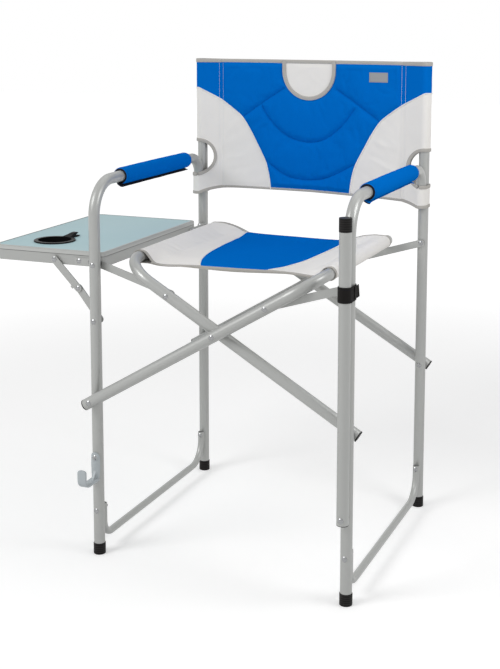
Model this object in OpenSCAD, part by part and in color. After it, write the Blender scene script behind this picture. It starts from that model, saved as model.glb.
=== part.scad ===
// Tall folding director chair with a fold-down side table, a cup holder and a swing-down footrest bar.
// Millimetres. X runs to the sitter's left, Y to the rear and Z up.
// The origin is the middle of the footprint.
// Each side frame is one bent leg and arm tube in front and one straight post behind it. Two U-tubes cross
// between them. The tubes lie in layers one pitch apart along Y, and every fold pivot runs along Y.

/* [Tubes] */
// Outer diameter of the frame tubes
tube_d = 25; // [22:0.5:28]
// Wall of every tube
tube_wall = 1.5; // [1:0.1:3]
// Outer diameter of the side stretchers
strut_d = 16; // [12:0.5:18]
// Free gap between two tubes that cross
layer_gap = 3; // [2.8:0.1:6]

/* [Side frames] */
// Distance between the left and right legs
leg_span = 592; // [580:1:640]
// Distance from a front leg to its rear post
leg_depth = 570; // [540:1:620]
// Height of the rear posts
post_h = 1089; // [1070:1:1150]
// Height of the arm tube's axis
arm_h = 843; // [835:1:860]
// Bend radius of the arm tube over the front leg
arm_front_r = 75; // [60:1:95]
// Bend radius of the arm tube in front of the post
arm_rear_r = 46; // [42:1:52]
// Height at which the arm tube ends against the post
arm_end_z = 775; // [770:1:785]
// Height of the stretcher rivets
strut_rivet_z = 102; // [95:1:120]
// Height of the stretcher's low run
strut_low_z = 33; // [28:1:40]
// Bend radius of the stretcher behind the front leg
strut_front_r = 34; // [26:1:45]
// Bend radius of the stretcher in front of the post
strut_rear_r = 56; // [40:1:65]

/* [Feet] */
// Outer diameter of a foot cap
foot_d = 27.5; // [27:0.5:34]
// Height of a foot cap
foot_h = 26; // [18:1:32]
// Thickness of a foot cap's sole
foot_sole = 3; // [2:0.5:6]
// Edge radius of a foot cap
foot_edge_r = 1.5; // [0.5:0.1:2.5]

/* [Cross frames] */
// Height of the lower pivots
low_pivot_z = 360; // [350:1:372]
// Distance of a seat rail from the middle
rail_x = 226; // [220:1:232]
// Height of a seat rail's axis
rail_z = 672; // [664:1:680]
// Bend radius of a U-tube
rail_bend_r = 75; // [70:1:80]
// Length of a U-tube beyond its lower pivot
tail_len = 15; // [13:1:22]
// Length of the stem of a tube plug
plug_stem = 12; // [8:1:20]
// Thickness of the rim of a tube plug
plug_rim_t = 2.5; // [1.5:0.1:4]

/* [Link bars] */
// Height of the link pivots on the legs
link_pivot_z = 662; // [656:1:666]
// Distance from the middle at which a link meets its U-tube
link_x = 119; // [112:1:122]
// Width of a flat bar
bar_w = 17; // [14:0.5:18]
// Thickness of a flat bar
bar_t = 2.5; // [2:0.1:3]
// Thickness of the black washers behind the flat bars
bar_washer_t = 2; // [1.8:0.1:3]

/* [Fasteners] */
// Diameter of a rivet's shank
rivet_d = 6; // [5:0.5:8]
// Diameter of a rivet's head
rivet_head_d = 12; // [10:0.5:14]
// Height of a rivet's head
rivet_head_h = 2.2; // [1.5:0.1:2.2]
// Outer diameter of a pivot washer
washer_d = 17; // [14:0.5:20]
// Outer diameter of the small shoulders beside the table's brace
shoulder_d = 8; // [7.5:0.1:8.5]

/* [Seat] */
// Outer diameter of a cloth sleeve on a seat rail
seat_sleeve_d = 29; // [28:0.5:31]
// Distance from a front leg's axis to the front hem at a rail
seat_front = 85; // [85:1:110]
// Distance from a front leg's axis to the rear end of a sleeve's straight run
seat_rear = 488; // [460:1:488]
// Angle by which a sleeve runs into the rear bend
seat_wrap = 8; // [4:1:12]
// Sag of the seat in the middle
seat_sag = 9; // [4:1:16]
// Thickness of the seat's cloth
seat_cloth_t = 3; // [2:0.1:4]
// Extra thickness of the padded middle of the seat
seat_pad_t = 5; // [2:0.5:9]
// Half-width of the padded middle of the seat
seat_pad_x = 125; // [100:1:150]

/* [Back] */
// Outer diameter of a cloth sleeve on a post
back_sleeve_d = 29.2; // [28:0.1:29.4]
// Height of the lower hem at the posts
back_low_z = 748; // [746:1:756]
// Height of the lower hem in the middle
back_hem_z = 769; // [760:1:780]
// Height of the lower edge of the cut-outs round the arms
cutout_low_z = 799; // [795:1:803]
// Height of the upper edge of the cut-outs round the arms
cutout_high_z = 885; // [880:1:900]
// Reach of a cut-out inward from the post's axis
cutout_reach = 39; // [34:1:60]
// Sag of the back to the rear in the middle
back_sag = 8; // [3:1:14]
// Thickness of the back's cloth
back_cloth_t = 2.5; // [2:0.1:4]
// Extra thickness of the padded middle of the back
back_pad_t = 5; // [2:0.5:9]
// Half-width of the padded middle of the back
back_pad_x = 180; // [140:1:210]
// Thickness of the cloth that closes a sleeve over its post
sleeve_top_t = 1.6; // [1:0.1:3]

/* [Arm pads] */
// Outer diameter of an arm pad
pad_d = 39; // [34:0.5:44]
// Distance from a front leg's axis to the front end of its pad
pad_front = 112; // [100:1:130]
// Distance from a front leg's axis to the rear end of its pad
pad_rear = 476; // [440:1:490]
// Edge radius at the ends of a pad
pad_edge_r = 5; // [2:0.5:8]
// Width of the slit under a pad
pad_slit = 3; // [1:0.5:6]

/* [Footrest] */
// Height of the footrest bar's pivot
foot_pivot_z = 194.5; // [185:0.5:205]
// Length of the bar below its pivot
foot_bar_tail = 11; // [9:0.5:14]
// Height of the upright bar's top
foot_bar_top = 811; // [800:1:830]
// Height of the black cap on the bar
foot_cap_h = 28; // [20:1:40]
// Outer diameter of the black cap on the bar
foot_cap_d = 26.4; // [26:0.1:28]
// Thickness of the cap's closed end
foot_cap_end = 2; // [1:0.5:4]
// Lower edge of the strap round the bar and the leg
strap_z = 642; // [630:1:655]
// Height of the strap
strap_h = 32; // [25:1:40]
// Outer diameter of the strap where it goes round a tube
strap_d = 28.6; // [28:0.1:28.8]

/* [Footrest hook] */
// Width of the hook
hook_w = 22; // [18:1:28]
// Height of the hook's rivet
hook_rivet_z = 228; // [222:1:236]
// Height of the hook's top above its rivet
hook_top = 12; // [9:1:18]
// Thickness of the hook's shelf and lip
hook_t = 5.5; // [4:0.5:8]
// Height of the lip above the bar's axis in the hook
hook_lip = 13; // [8:1:20]
// Free space between the bar's cap and the hook
hook_fit = 0.7; // [0.4:0.1:2]
// Thickness of the hook's plate on the leg
hook_plate_t = 4; // [3:0.5:6]
// Height of the rib from the plate to the cradle
hook_rib_h = 46; // [40:1:50]

/* [Side table] */
// Distance from the hinge axis to the table's inner face
table_inner = 10; // [10:0.5:16]
// Width of the table across the chair
table_w = 289; // [270:1:320]
// Length of the table along the arm
table_l = 480; // [460:1:500]
// Height of the table's top above its hinge axis
table_top = 23; // [21:0.5:26]
// Height of the rim
rim_h = 33; // [31:0.5:36]
// Wall of the rim
rim_t = 2.5; // [2:0.1:4]
// Width of the rim's rounded top
rim_lip = 9; // [8:0.5:14]
// Height of the rim's rounded top
rim_lip_h = 9.5; // [8:0.5:12]
// Width and depth of the groove under the rim's rounded top
rim_groove = 0.8; // [0.4:0.1:1.5]
// Edge radius of the rim's top
rim_edge_r = 4; // [2:0.5:5]
// Depth of the panel's surface below the rim
panel_drop = 0.8; // [0.4:0.1:2]
// Thickness of the panel
panel_t = 6; // [4:0.5:7]
// Radius of the outer corners
corner_outer_r = 28; // [22:1:36]
// Radius of the corners beside the hinge
corner_inner_r = 10.5; // [10:0.5:14]
// Reach of the front bracket from the hinge axis
bracket_len = 62; // [54:1:66]
// From the hinge to the first rivet of the front bracket
bracket_rivet_a = 21; // [18:1:26]
// From the hinge to its second rivet
bracket_rivet_b = 50; // [44:1:54]
// From the rim's lower edge up to the bracket's
bracket_rise = 1.5; // [1:0.1:3]
// Width of the rear strap
rear_strap_w = 14; // [12:0.5:18]
// Length of the rear strap on the table's inner face
rear_strap_grip = 28; // [20:1:40]
// Width of the concentric space between the table and the hinge rivet's tail
tail_fit = 0.5; // [0.4:0.1:1]

/* [Table brace] */
// Distance from the hinge axis to the brace's rivet on the table
brace_table_x = 112; // [108:1:114]
// Height of that rivet above the hinge axis
brace_table_z = 1; // [0:0.5:3]
// Distance of the knee outward from the leg's axis
knee_x = 52; // [49:0.5:55]
// Height of the knee below the hinge axis
knee_z = 60; // [57:0.5:63]
// Height of the brace's rivet on the leg below the hinge axis
brace_leg_z = 126; // [125:0.5:129]
// Side of the stop nub on the upper bar
nub_s = 7; // [5:0.5:9]

/* [Cup holder] */
// Distance from the hinge axis to the cup holder's centre
cup_x = 170; // [150:1:190]
// Distance from the table's front face to the cup holder's centre
cup_y = 94; // [70:1:140]
// Outer diameter of the cup holder's flange
cup_flange_d = 96; // [92:1:104]
// Inner diameter of the cup
cup_d = 78; // [70:1:84]
// Depth of the cup
cup_depth = 38; // [30:1:40]
// Wall of the cup
cup_wall = 2.5; // [2:0.1:4]
// Height of the flange above the table's panel
cup_flange_t = 3; // [2:0.5:5]
// Width of the raised tab behind the cup
tab_w = 14; // [10:1:20]
// Length of the raised tab behind the cup
tab_l = 34; // [20:1:44]
// Which way the tab points, from straight across towards the rear
tab_angle = 78; // [60:1:90]

/* [Fits] */
// Radial clearance of a running pin in its hole
pin_fit = 0.05; // [0.02:0.01:0.1]
// Space between parts that pass each other
pass_gap = 0.3; // [0.25:0.05:0.5]
// Space between two flat bars that turn against each other
bar_gap = 0.5; // [0.4:0.1:0.8]
// Space between cloth and the tube inside it
cloth_fit = 0.3; // [0.2:0.1:0.6]

/* [Hidden] */
$fn = 48;

tube_r = tube_d / 2;
strut_r = strut_d / 2;
half_span = leg_span / 2;
// One layer of tubes lies this far behind the next
pitch = tube_d + layer_gap;
right_y = 0;
left_y = pitch;
bar_y = -pitch;

// The crossing U-tubes at rest
u_rise = rail_z - low_pivot_z;
u_angle = atan2(u_rise, half_span + rail_x);
u_len = norm([half_span + rail_x, u_rise]);
cross_s = half_span / cos(u_angle);
cross_z = low_pivot_z + half_span * tan(u_angle);
link_s = (half_span + link_x) / cos(u_angle);
link_tube_z = low_pivot_z + (half_span + link_x) * tan(u_angle);

// The link bars
link_drop = link_pivot_z - link_tube_z;
link_len = norm([half_span - link_x, link_drop]);
link_angle = atan2(link_drop, half_span - link_x);

// Flat bars behind the left front leg: first layer and second layer
back_face = left_y + tube_r;
bar1_y = back_face + bar_washer_t;
bar2_y = bar1_y + bar_t + bar_gap;
apron_y = bar2_y + bar_t + 2 * pass_gap;
bracket_t = apron_y - bar2_y;
// Flat bars in front of the left rear post
rear_face = left_y + leg_depth - tube_r;
rear_bar1_y = rear_face - bar_washer_t - bar_t;
rear_bar2_y = rear_bar1_y - bar_gap - bar_t;

// The side table in the plane across its hinge
hinge_x = -half_span;
hinge_z = link_pivot_z;
rim_z = hinge_z + table_top - rim_h;
table_x0 = hinge_x + table_inner - table_w;
table_x1 = hinge_x + table_inner;
panel_z = hinge_z + table_top - panel_drop - panel_t;
panel_inset = rim_lip - 2.5;
panel_edge = panel_inset + cloth_fit;
rim_ledge = rim_lip + 3;
tail_d = shoulder_d;
brace_t_x = hinge_x - brace_table_x;
brace_t_z = hinge_z + brace_table_z;
brace_k_x = hinge_x - knee_x;
brace_k_z = hinge_z - knee_z;
brace_l_z = hinge_z - brace_leg_z;
cup_cx = hinge_x - cup_x;
cup_cy = apron_y + cup_y;
cup_top = panel_z + panel_t + cup_flange_t;
bracket_rivets = [bracket_rivet_a, bracket_rivet_b];
bracket_low = table_top - rim_h + bracket_rise;
rear_rivet_y = apron_y + table_l - corner_inner_r - rear_strap_grip / 2;
upper_len = norm([brace_k_x - brace_t_x, brace_k_z - brace_t_z]);
upper_angle = atan2(brace_k_z - brace_t_z, brace_k_x - brace_t_x);
lower_len = norm([knee_x, brace_k_z - brace_l_z]);
lower_angle = atan2(brace_k_z - brace_l_z, -knee_x);
steps = 24;

// The footrest bar and its hook
foot_bar_bottom = foot_pivot_z - foot_bar_tail;
foot_cap_r = foot_cap_d / 2;
cradle_r = foot_cap_r + hook_fit;
hook_low_z = foot_pivot_z - cradle_r - hook_t;
lip_y = bar_y - cradle_r - hook_t;
hook_back_y = left_y - tube_r;
// The strap is parted just in front of the leg, so that its front half swings with the bar
strap_split_y = right_y - tube_r - rivet_head_h - pass_gap;

// The whole part is moved so that its origin is the middle of the box that it fills
box_x0 = table_x0;
box_x1 = half_span + max(tail_len * cos(u_angle) + plug_rim_t, foot_d / 2, pad_d / 2);
box_y0 = lip_y;
box_y1 = left_y + leg_depth + max(back_sleeve_d / 2, tube_r + rivet_head_h);
origin = [-(box_x0 + box_x1) / 2, -(box_y0 + box_y1) / 2, 0];

metal = [0.74, 0.75, 0.76];
blue = [0.02, 0.36, 0.72];
cloth_grey = [0.82, 0.81, 0.79];
black = [0.08, 0.08, 0.09];
plastic_grey = [0.66, 0.68, 0.69];
panel_blue = [0.66, 0.78, 0.80];

// Cross-section of a tube
module ring(d, wall) {
    difference() {
        circle(d = d);
        circle(d = d - 2 * wall);
    }
}

// Straight tube along Z
module pipe(len, d, wall) {
    linear_extrude(len) ring(d, wall);
}

// Bend in the XY plane about the origin
module elbow(r, from, to, d, wall) {
    rotate([0, 0, from]) rotate_extrude(angle = to - from) translate([r, 0]) ring(d, wall);
}

// Children drawn in the XY plane stand up in the YZ plane: X goes to the rear and Y up
module side_plane(x, y) {
    translate([x, y, 0]) rotate([90, 0, 90]) children();
}

// Straight tube along local Y, and along local X
module pipe_up(x, y, len, d, wall) {
    translate([x, y, 0]) rotate([-90, 0, 0]) pipe(len, d, wall);
}
module pipe_along(x, y, len, d, wall) {
    translate([x, y, 0]) rotate([0, 90, 0]) pipe(len, d, wall);
}

// Cylinder along Y between two depths
module rod_y(x, z, y0, y1, d) {
    translate([x, y1, z]) rotate([90, 0, 0]) cylinder(d = d, h = y1 - y0);
}

// Bore along Y through a whole tube
module bore_y(x, y, z) {
    rod_y(x, z, y - pitch, y + pitch, rivet_d + 2 * pin_fit);
}

// Domed rivet head of a height with its flat side on the plane z = 0
module rivet_dome(h = rivet_head_h) {
    r = rivet_head_d / 2;
    ball = (r * r + h * h) / (2 * h);
    rotate_extrude() intersection() {
        translate([0, h - ball]) circle(r = ball, $fn = 96);
        square([r, h]);
    }
}

// Rivet along Y with a dome at each end, the front one of a height
module rivet(x, z, y0, y1, h = rivet_head_h) {
    rod_y(x, z, y0, y1, rivet_d);
    translate([x, y0, z]) rotate([90, 0, 0]) rivet_dome(h);
    translate([x, y1, z]) rotate([-90, 0, 0]) rivet_dome();
}

// Rivet along Y with a dome in front and a plain end
module blind_rivet(x, z, y0, y1) {
    rod_y(x, z, y0, y1, rivet_d);
    translate([x, y0, z]) rotate([90, 0, 0]) rivet_dome();
}

// Washer along Y between two depths
module washer(x, z, y0, y1, d) {
    difference() {
        rod_y(x, z, y0, y1, d);
        rod_y(x, z, y0 - 1, y1 + 1, rivet_d + 2 * pin_fit);
    }
}

// Outline of a flat bar with round ends from the origin along X
module bar_outline(len, w) {
    circle(d = w);
    translate([0, -w / 2]) square([len, w]);
    translate([len, 0]) circle(d = w);
}

// Flat bar in the XZ plane from (x, z) at an angle, with a hole at each end
module flat_bar(x, z, y, len, angle, w, t) {
    translate([x, y + t, z]) rotate([90, 0, 0]) rotate([0, 0, angle]) linear_extrude(t) difference() {
        bar_outline(len, w);
        circle(d = rivet_d + 2 * pin_fit);
        translate([len, 0]) circle(d = rivet_d + 2 * pin_fit);
    }
}

// Side frames: front leg and arm tube
module leg_arm_tube(x, y, holes) {
    end_y = leg_depth - tube_d - cloth_fit;
    color(metal) difference() {
        side_plane(x, y) {
            pipe_up(0, foot_sole, arm_h - arm_front_r - foot_sole, tube_d, tube_wall);
            translate([arm_front_r, arm_h - arm_front_r]) elbow(arm_front_r, 90, 180, tube_d, tube_wall);
            pipe_along(arm_front_r, arm_h, end_y - arm_rear_r - arm_front_r, tube_d, tube_wall);
            translate([end_y - arm_rear_r, arm_h - arm_rear_r]) elbow(arm_rear_r, 0, 90, tube_d, tube_wall);
            pipe_up(end_y, arm_end_z, arm_h - arm_rear_r - arm_end_z, tube_d, tube_wall);
        }
        for (z = holes) bore_y(x, y, z);
    }
}

module rear_post(x, y) {
    color(metal) difference() {
        translate([x, y, foot_sole]) pipe(post_h - foot_sole, tube_d, tube_wall);
        for (z = [strut_rivet_z, low_pivot_z, link_pivot_z]) bore_y(x, y, z);
    }
}

// Foot cap with a sole, a straight bore and rounded edges
module foot(x, y) {
    r = foot_d / 2;
    color(black) translate([x, y, 0]) rotate_extrude() difference() {
        union() {
            square([r - foot_edge_r, foot_h]);
            translate([0, foot_edge_r]) square([r, foot_h - 2 * foot_edge_r]);
            translate([r - foot_edge_r, foot_edge_r]) circle(r = foot_edge_r);
            translate([r - foot_edge_r, foot_h - foot_edge_r]) circle(r = foot_edge_r);
        }
        translate([-1, foot_sole]) square([1 + tube_r + pin_fit, foot_h]);
        translate([-foot_d, -1]) square([foot_d, foot_h + 2]);
    }
}

// Bent stretcher between a front leg and its post
module stretcher(x, y) {
    front = tube_r + strut_r + pass_gap;
    rear = leg_depth - front;
    top = strut_rivet_z + strut_r;
    color(metal) difference() {
        side_plane(x, y) {
            pipe_up(front, strut_low_z + strut_front_r, top - strut_low_z - strut_front_r,
                strut_d, tube_wall);
            translate([front + strut_front_r, strut_low_z + strut_front_r])
                elbow(strut_front_r, 180, 270, strut_d, tube_wall);
            pipe_along(front + strut_front_r, strut_low_z, rear - front - strut_front_r - strut_rear_r,
                strut_d, tube_wall);
            translate([rear - strut_rear_r, strut_low_z + strut_rear_r])
                elbow(strut_rear_r, 270, 360, strut_d, tube_wall);
            pipe_up(rear, strut_low_z + strut_rear_r, top - strut_low_z - strut_rear_r, strut_d, tube_wall);
        }
        rod_y(x, strut_rivet_z, y + front - strut_d, y + rear + strut_d, rivet_d + 2 * pin_fit);
    }
}

// Rivets that hold a stretcher to its leg and post
module stretcher_rivets(x, y) {
    reach = tube_r + strut_d + pass_gap;
    rivet(x, strut_rivet_z, y - tube_r, y + reach);
    rivet(x, strut_rivet_z, y + leg_depth - reach, y + leg_depth + tube_r);
}

module left_frame_rivets() {
    x = -half_span;
    front = left_y - tube_r;
    rear = left_y + leg_depth + tube_r;
    color(metal) {
        stretcher_rivets(x, left_y);
        // The lower pivots go through the other frame's tube in front
        rivet(x, low_pivot_z, right_y - tube_r - pass_gap, back_face);
        rivet(x, low_pivot_z, right_y + leg_depth - tube_r - pass_gap, rear);
        blind_rivet(x, hinge_z, front, apron_y + pass_gap);
        rod_y(x, hinge_z, apron_y + pass_gap, apron_y + rim_t, tail_d);
        rivet(x, hinge_z, rear_bar2_y - pass_gap, rear);
        blind_rivet(x, brace_l_z, front, bar2_y + bar_t);
        rod_y(x, brace_l_z, back_face, bar2_y - pass_gap, shoulder_d);
        blind_rivet(x, hook_rivet_z, front - hook_plate_t, back_face);
    }
}

module right_frame_rivets() {
    x = half_span;
    front = right_y - tube_r;
    rear = right_y + leg_depth + tube_r;
    color(metal) {
        stretcher_rivets(x, right_y);
        rivet(x, low_pivot_z, front, left_y + tube_r + pass_gap);
        rivet(x, low_pivot_z, front + leg_depth, left_y + leg_depth + tube_r + pass_gap);
        rivet(x, link_pivot_z, front, right_y + tube_r + bar_washer_t + bar_t + pass_gap);
        rivet(x, link_pivot_z, right_y + leg_depth - tube_r - bar_washer_t - bar_t - pass_gap, rear);
        rivet(x, foot_pivot_z, bar_y - tube_r - pass_gap, right_y + tube_r);
    }
}

module left_pivot_washers() {
    x = -half_span;
    gap = bar_washer_t - pass_gap;
    color(black) {
        washer(x, low_pivot_z, right_y + tube_r + pass_gap, left_y - tube_r, washer_d);
        washer(x, low_pivot_z, right_y + leg_depth + tube_r + pass_gap, left_y + leg_depth - tube_r,
            washer_d);
        washer(x, link_pivot_z, back_face, back_face + gap, washer_d);
        washer(x, link_pivot_z, rear_face - gap, rear_face, washer_d);
    }
}

module right_pivot_washers() {
    x = half_span;
    gap = bar_washer_t - pass_gap;
    face = right_y + tube_r;
    post_front = right_y + leg_depth - tube_r;
    color(black) {
        washer(x, low_pivot_z, face, left_y - tube_r - pass_gap, washer_d);
        washer(x, low_pivot_z, face + leg_depth, left_y + leg_depth - tube_r - pass_gap, washer_d);
        washer(x, link_pivot_z, face, face + gap, washer_d);
        washer(x, link_pivot_z, post_front - gap, post_front, washer_d);
        washer(x, foot_pivot_z, bar_y + tube_r + pass_gap, right_y - tube_r, washer_d);
    }
}

// Padded arm sleeve with round edges and a slit underneath
module arm_pad(x, y) {
    r = pad_d / 2;
    len = pad_rear - pad_front;
    color(blue) translate([x, y + pad_front, arm_h]) rotate([-90, 0, 0]) difference() {
        rotate_extrude() difference() {
            union() {
                translate([0, pad_edge_r]) square([r, len - 2 * pad_edge_r]);
                square([r - pad_edge_r, len]);
                translate([r - pad_edge_r, pad_edge_r]) circle(r = pad_edge_r);
                translate([r - pad_edge_r, len - pad_edge_r]) circle(r = pad_edge_r);
            }
            translate([-pad_d, -1]) square([pad_d + tube_r + cloth_fit, len + 2]);
        }
        translate([-pad_slit / 2, 0, -1]) cube([pad_slit, pad_d, len + 2]);
    }
}

// Hook for the lowered footrest bar: a tapered plate on the leg, a shelf and an upright lip
module footrest_hook() {
    plate_y = hook_back_y - hook_plate_t;
    top_z = hook_rivet_z + hook_top;
    cradle_back = bar_y + cradle_r;
    lip_top = foot_pivot_z + hook_lip;
    color(plastic_grey) difference() {
        intersection() {
            translate([-half_span - hook_w / 2, 0, 0]) rotate([90, 0, 90]) linear_extrude(hook_w) union() {
                // Plate, rib down to the cradle, shelf and lip
                translate([plate_y, hook_low_z]) square([hook_plate_t, top_z - hook_low_z]);
                difference() {
                    translate([cradle_back, hook_low_z]) square([plate_y - cradle_back, hook_rib_h]);
                    translate([cradle_back, hook_low_z + hook_rib_h])
                        circle(r = plate_y - cradle_back, $fn = 96);
                }
                translate([lip_y + hook_t, hook_low_z]) square([cradle_back - lip_y - hook_t, hook_t]);
                translate([lip_y, hook_low_z + hook_t])
                    square([hook_t, lip_top - hook_low_z - 1.5 * hook_t]);
                translate([lip_y + hook_t / 2, lip_top - hook_t / 2]) circle(d = hook_t);
                intersection() {
                    translate([lip_y + hook_t, hook_low_z + hook_t]) circle(r = hook_t);
                    translate([lip_y, hook_low_z]) square(hook_t);
                }
            }
            // Front outline: round at the top and wider at the cradle
            translate([-half_span, plate_y + pitch, 0]) rotate([90, 0, 0])
                linear_extrude(4 * pitch) union() {
                translate([0, hook_rivet_z]) circle(r = hook_top);
                translate([-hook_top, hook_low_z]) square([2 * hook_top, hook_rivet_z - hook_low_z]);
            }
        }
        rod_y(-half_span, hook_rivet_z, lip_y, left_y, rivet_d + 2 * pin_fit);
        translate([-half_span, left_y, 0]) cylinder(r = tube_r + pin_fit, h = post_h);
    }
}

// Cloth sleeve on a post: closed over the post's top, open round the arm, and round both tubes at the foot
module back_sleeve(x, y) {
    r = back_sleeve_d / 2;
    inner = tube_r + cloth_fit;
    step = tube_d + cloth_fit;
    height = post_h + cloth_fit - cutout_high_z;
    color(cloth_grey) translate([x, y, 0]) {
        translate([0, 0, cutout_high_z]) difference() {
            cylinder(r = r, h = height + sleeve_top_t);
            translate([0, 0, -1]) cylinder(r = inner, h = height + 1);
        }
        translate([0, 0, back_low_z]) linear_extrude(cutout_low_z - back_low_z) difference() {
            rotate(-90) bar_outline(step, 2 * r);
            rotate(-90) bar_outline(step, 2 * inner);
        }
    }
}

// Plan of a cloth sheet: the middle line sags by a parabola and the middle is thicker by its padding
function bulge(u) = 1 - u * u;
function padded(x, half, pad, cloth) = cloth + (abs(x) < half ? pad * bulge(x / half) : 0);

module back_panel() {
    half = half_span - back_sleeve_d / 2 - pass_gap;
    xs = [for (i = [0:steps]) -half + 2 * half * i / steps];
    mid = leg_depth + (left_y + right_y) / 2;
    slope = (right_y - left_y) / leg_span;
    top = post_h + cloth_fit + sleeve_top_t;
    front = [for (x = xs) [x, mid + slope * x + back_sag * bulge(x / half)
        - padded(x, back_pad_x, back_pad_t, back_cloth_t) / 2]];
    rear = [for (i = [steps:-1:0]) [xs[i], mid + slope * xs[i] + back_sag * bulge(xs[i] / half)
        + padded(xs[i], back_pad_x, back_pad_t, back_cloth_t) / 2]];
    hem = [for (x = xs) [x, back_hem_z - (back_hem_z - back_low_z) * pow(x / half, 6)]];
    cut_r = (cutout_high_z - cutout_low_z) / 2;
    color(cloth_grey) intersection() {
        translate([0, 0, back_low_z]) linear_extrude(top - back_low_z) polygon(concat(front, rear));
        translate([0, leg_depth + 2 * pitch, 0]) rotate([90, 0, 0]) linear_extrude(4 * pitch) difference() {
            polygon(concat(hem, [[half, top], [-half, top]]));
            for (side = [-1, 1]) translate([side * (half_span + cut_r - cutout_reach), cutout_low_z + cut_r])
                circle(r = cut_r);
        }
    }
}

// Cross frames: a U-tube in its own plane, from the lower pivots (s = 0) to the seat rail (s = u_len)
module u_plane(side, y) {
    mirror([side < 0 ? 1 : 0, 0, 0]) translate([-half_span, y, low_pivot_z])
        rotate([0, -u_angle, 0]) children();
}

module cross_tube(side, y) {
    r = rail_bend_r;
    color(metal) difference() {
        u_plane(side, y) {
            pipe_along(-tail_len, 0, u_len - r + tail_len, tube_d, tube_wall);
            pipe_along(-tail_len, leg_depth, u_len - r + tail_len, tube_d, tube_wall);
            translate([u_len - r, r]) elbow(r, 270, 360, tube_d, tube_wall);
            translate([u_len - r, leg_depth - r]) elbow(r, 0, 90, tube_d, tube_wall);
            pipe_up(u_len, r, leg_depth - 2 * r, tube_d, tube_wall);
        }
        for (depth = [0, leg_depth]) {
            bore_y(-side * half_span, y + depth, low_pivot_z);
            bore_y(0, y + depth, cross_z);
            bore_y(side * link_x, y + depth, link_tube_z);
        }
    }
}

// Black plugs in the lower ends of a U-tube
module cross_plugs(side, y) {
    color(black) u_plane(side, y) for (depth = [0, leg_depth])
        translate([-tail_len, depth, 0]) rotate([0, -90, 0]) {
        translate([0, 0, -plug_stem + rivet_d]) cylinder(d = tube_d - 2 * tube_wall - 2 * pin_fit,
            h = plug_stem - rivet_d);
        cylinder(d = tube_d, h = plug_rim_t);
    }
}

module right_cross_rivets() {
    front = right_y - tube_r;
    tail = left_y + tube_r + pass_gap;
    color(metal) for (depth = [0, leg_depth]) rivet(0, cross_z, front + depth, tail + depth);
    color(metal) blind_rivet(link_x, link_tube_z, front, right_y + tube_r);
    color(metal) mirror_y(right_y + leg_depth) blind_rivet(link_x, link_tube_z, -tube_r, tube_r);
}

module left_cross_rivets() {
    color(metal) blind_rivet(-link_x, link_tube_z, left_y - tube_r, left_y + tube_r);
    color(metal) mirror_y(left_y + leg_depth) blind_rivet(-link_x, link_tube_z, -tube_r, tube_r);
}

// Turns what is drawn round y = 0 front to back and moves it to a depth
module mirror_y(y) {
    translate([0, y, 0]) mirror([0, 1, 0]) children();
}

module right_cross_washers() {
    color(black) for (depth = [0, leg_depth])
        washer(0, cross_z, right_y + tube_r + depth, left_y - tube_r - pass_gap + depth, washer_d);
}

// Cloth sleeve on a seat rail, running a little into the rear bend
module seat_sleeve(side, y) {
    r = rail_bend_r;
    inner = tube_d + 2 * cloth_fit;
    wall = (seat_sleeve_d - inner) / 2;
    color(cloth_grey) u_plane(side, y) {
        pipe_up(u_len, seat_front, leg_depth - r - seat_front, seat_sleeve_d, wall);
        translate([u_len - r, leg_depth - r]) elbow(r, 0, seat_wrap, seat_sleeve_d, wall);
    }
}

module seat_panel() {
    half = rail_x - seat_sleeve_d / 2 - pass_gap;
    xs = [for (i = [0:steps]) -half + 2 * half * i / steps];
    shear = (right_y - left_y) / (2 * rail_x);
    middle = (right_y + left_y) / 2;
    top = [for (x = xs) [x, rail_z - seat_sag * bulge(x / half) + seat_cloth_t / 2]];
    under = [for (i = [steps:-1:0]) [xs[i], rail_z - seat_sag * bulge(xs[i] / half) + seat_cloth_t / 2
        - padded(xs[i], seat_pad_x, seat_pad_t, seat_cloth_t)]];
    color(cloth_grey) intersection() {
        translate([0, 2 * leg_depth, 0]) rotate([90, 0, 0])
            linear_extrude(2 * leg_depth) polygon(concat(top, under));
        translate([0, 0, rail_z - rail_x]) linear_extrude(2 * rail_x) polygon([
            [-half, middle - shear * half + seat_front], [half, middle + shear * half + seat_front],
            [half, middle + shear * half + seat_rear], [-half, middle - shear * half + seat_rear]]);
    }
}

// Link bars: from a leg's pivot down towards the middle
module link_bar(side, y) {
    color(metal) mirror([side < 0 ? 0 : 1, 0, 0])
        flat_bar(-half_span, link_pivot_z, y, link_len, -link_angle, bar_w, bar_t);
}

// Footrest
module footrest_bar() {
    z = foot_pivot_z;
    color(metal) difference() {
        translate([half_span, bar_y, foot_bar_bottom]) pipe(foot_bar_top - foot_cap_end - foot_bar_bottom,
            tube_d, tube_wall);
        bore_y(half_span, bar_y, z);
    }
}

module footrest_cap() {
    color(black) translate([half_span, bar_y, foot_bar_top - foot_cap_h]) difference() {
        cylinder(d = foot_cap_d, h = foot_cap_h);
        translate([0, 0, -1]) cylinder(d = tube_d + 2 * pin_fit, h = foot_cap_h - foot_cap_end + 1);
    }
}

module footrest_insert() {
    stem = foot_bar_tail - rivet_d;
    color(black) translate([half_span, bar_y, foot_bar_bottom - plug_rim_t / 2]) {
        cylinder(d = tube_d, h = plug_rim_t / 2);
        cylinder(d = tube_d - 2 * tube_wall - 2 * pin_fit, h = stem);
    }
}

// Webbing strap round the bar and the right leg
module strap_loop() {
    translate([half_span, right_y, strap_z]) linear_extrude(strap_h) difference() {
        rotate(-90) bar_outline(pitch, strap_d);
        rotate(-90) bar_outline(pitch, tube_d + 2 * cloth_fit);
    }
}

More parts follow.
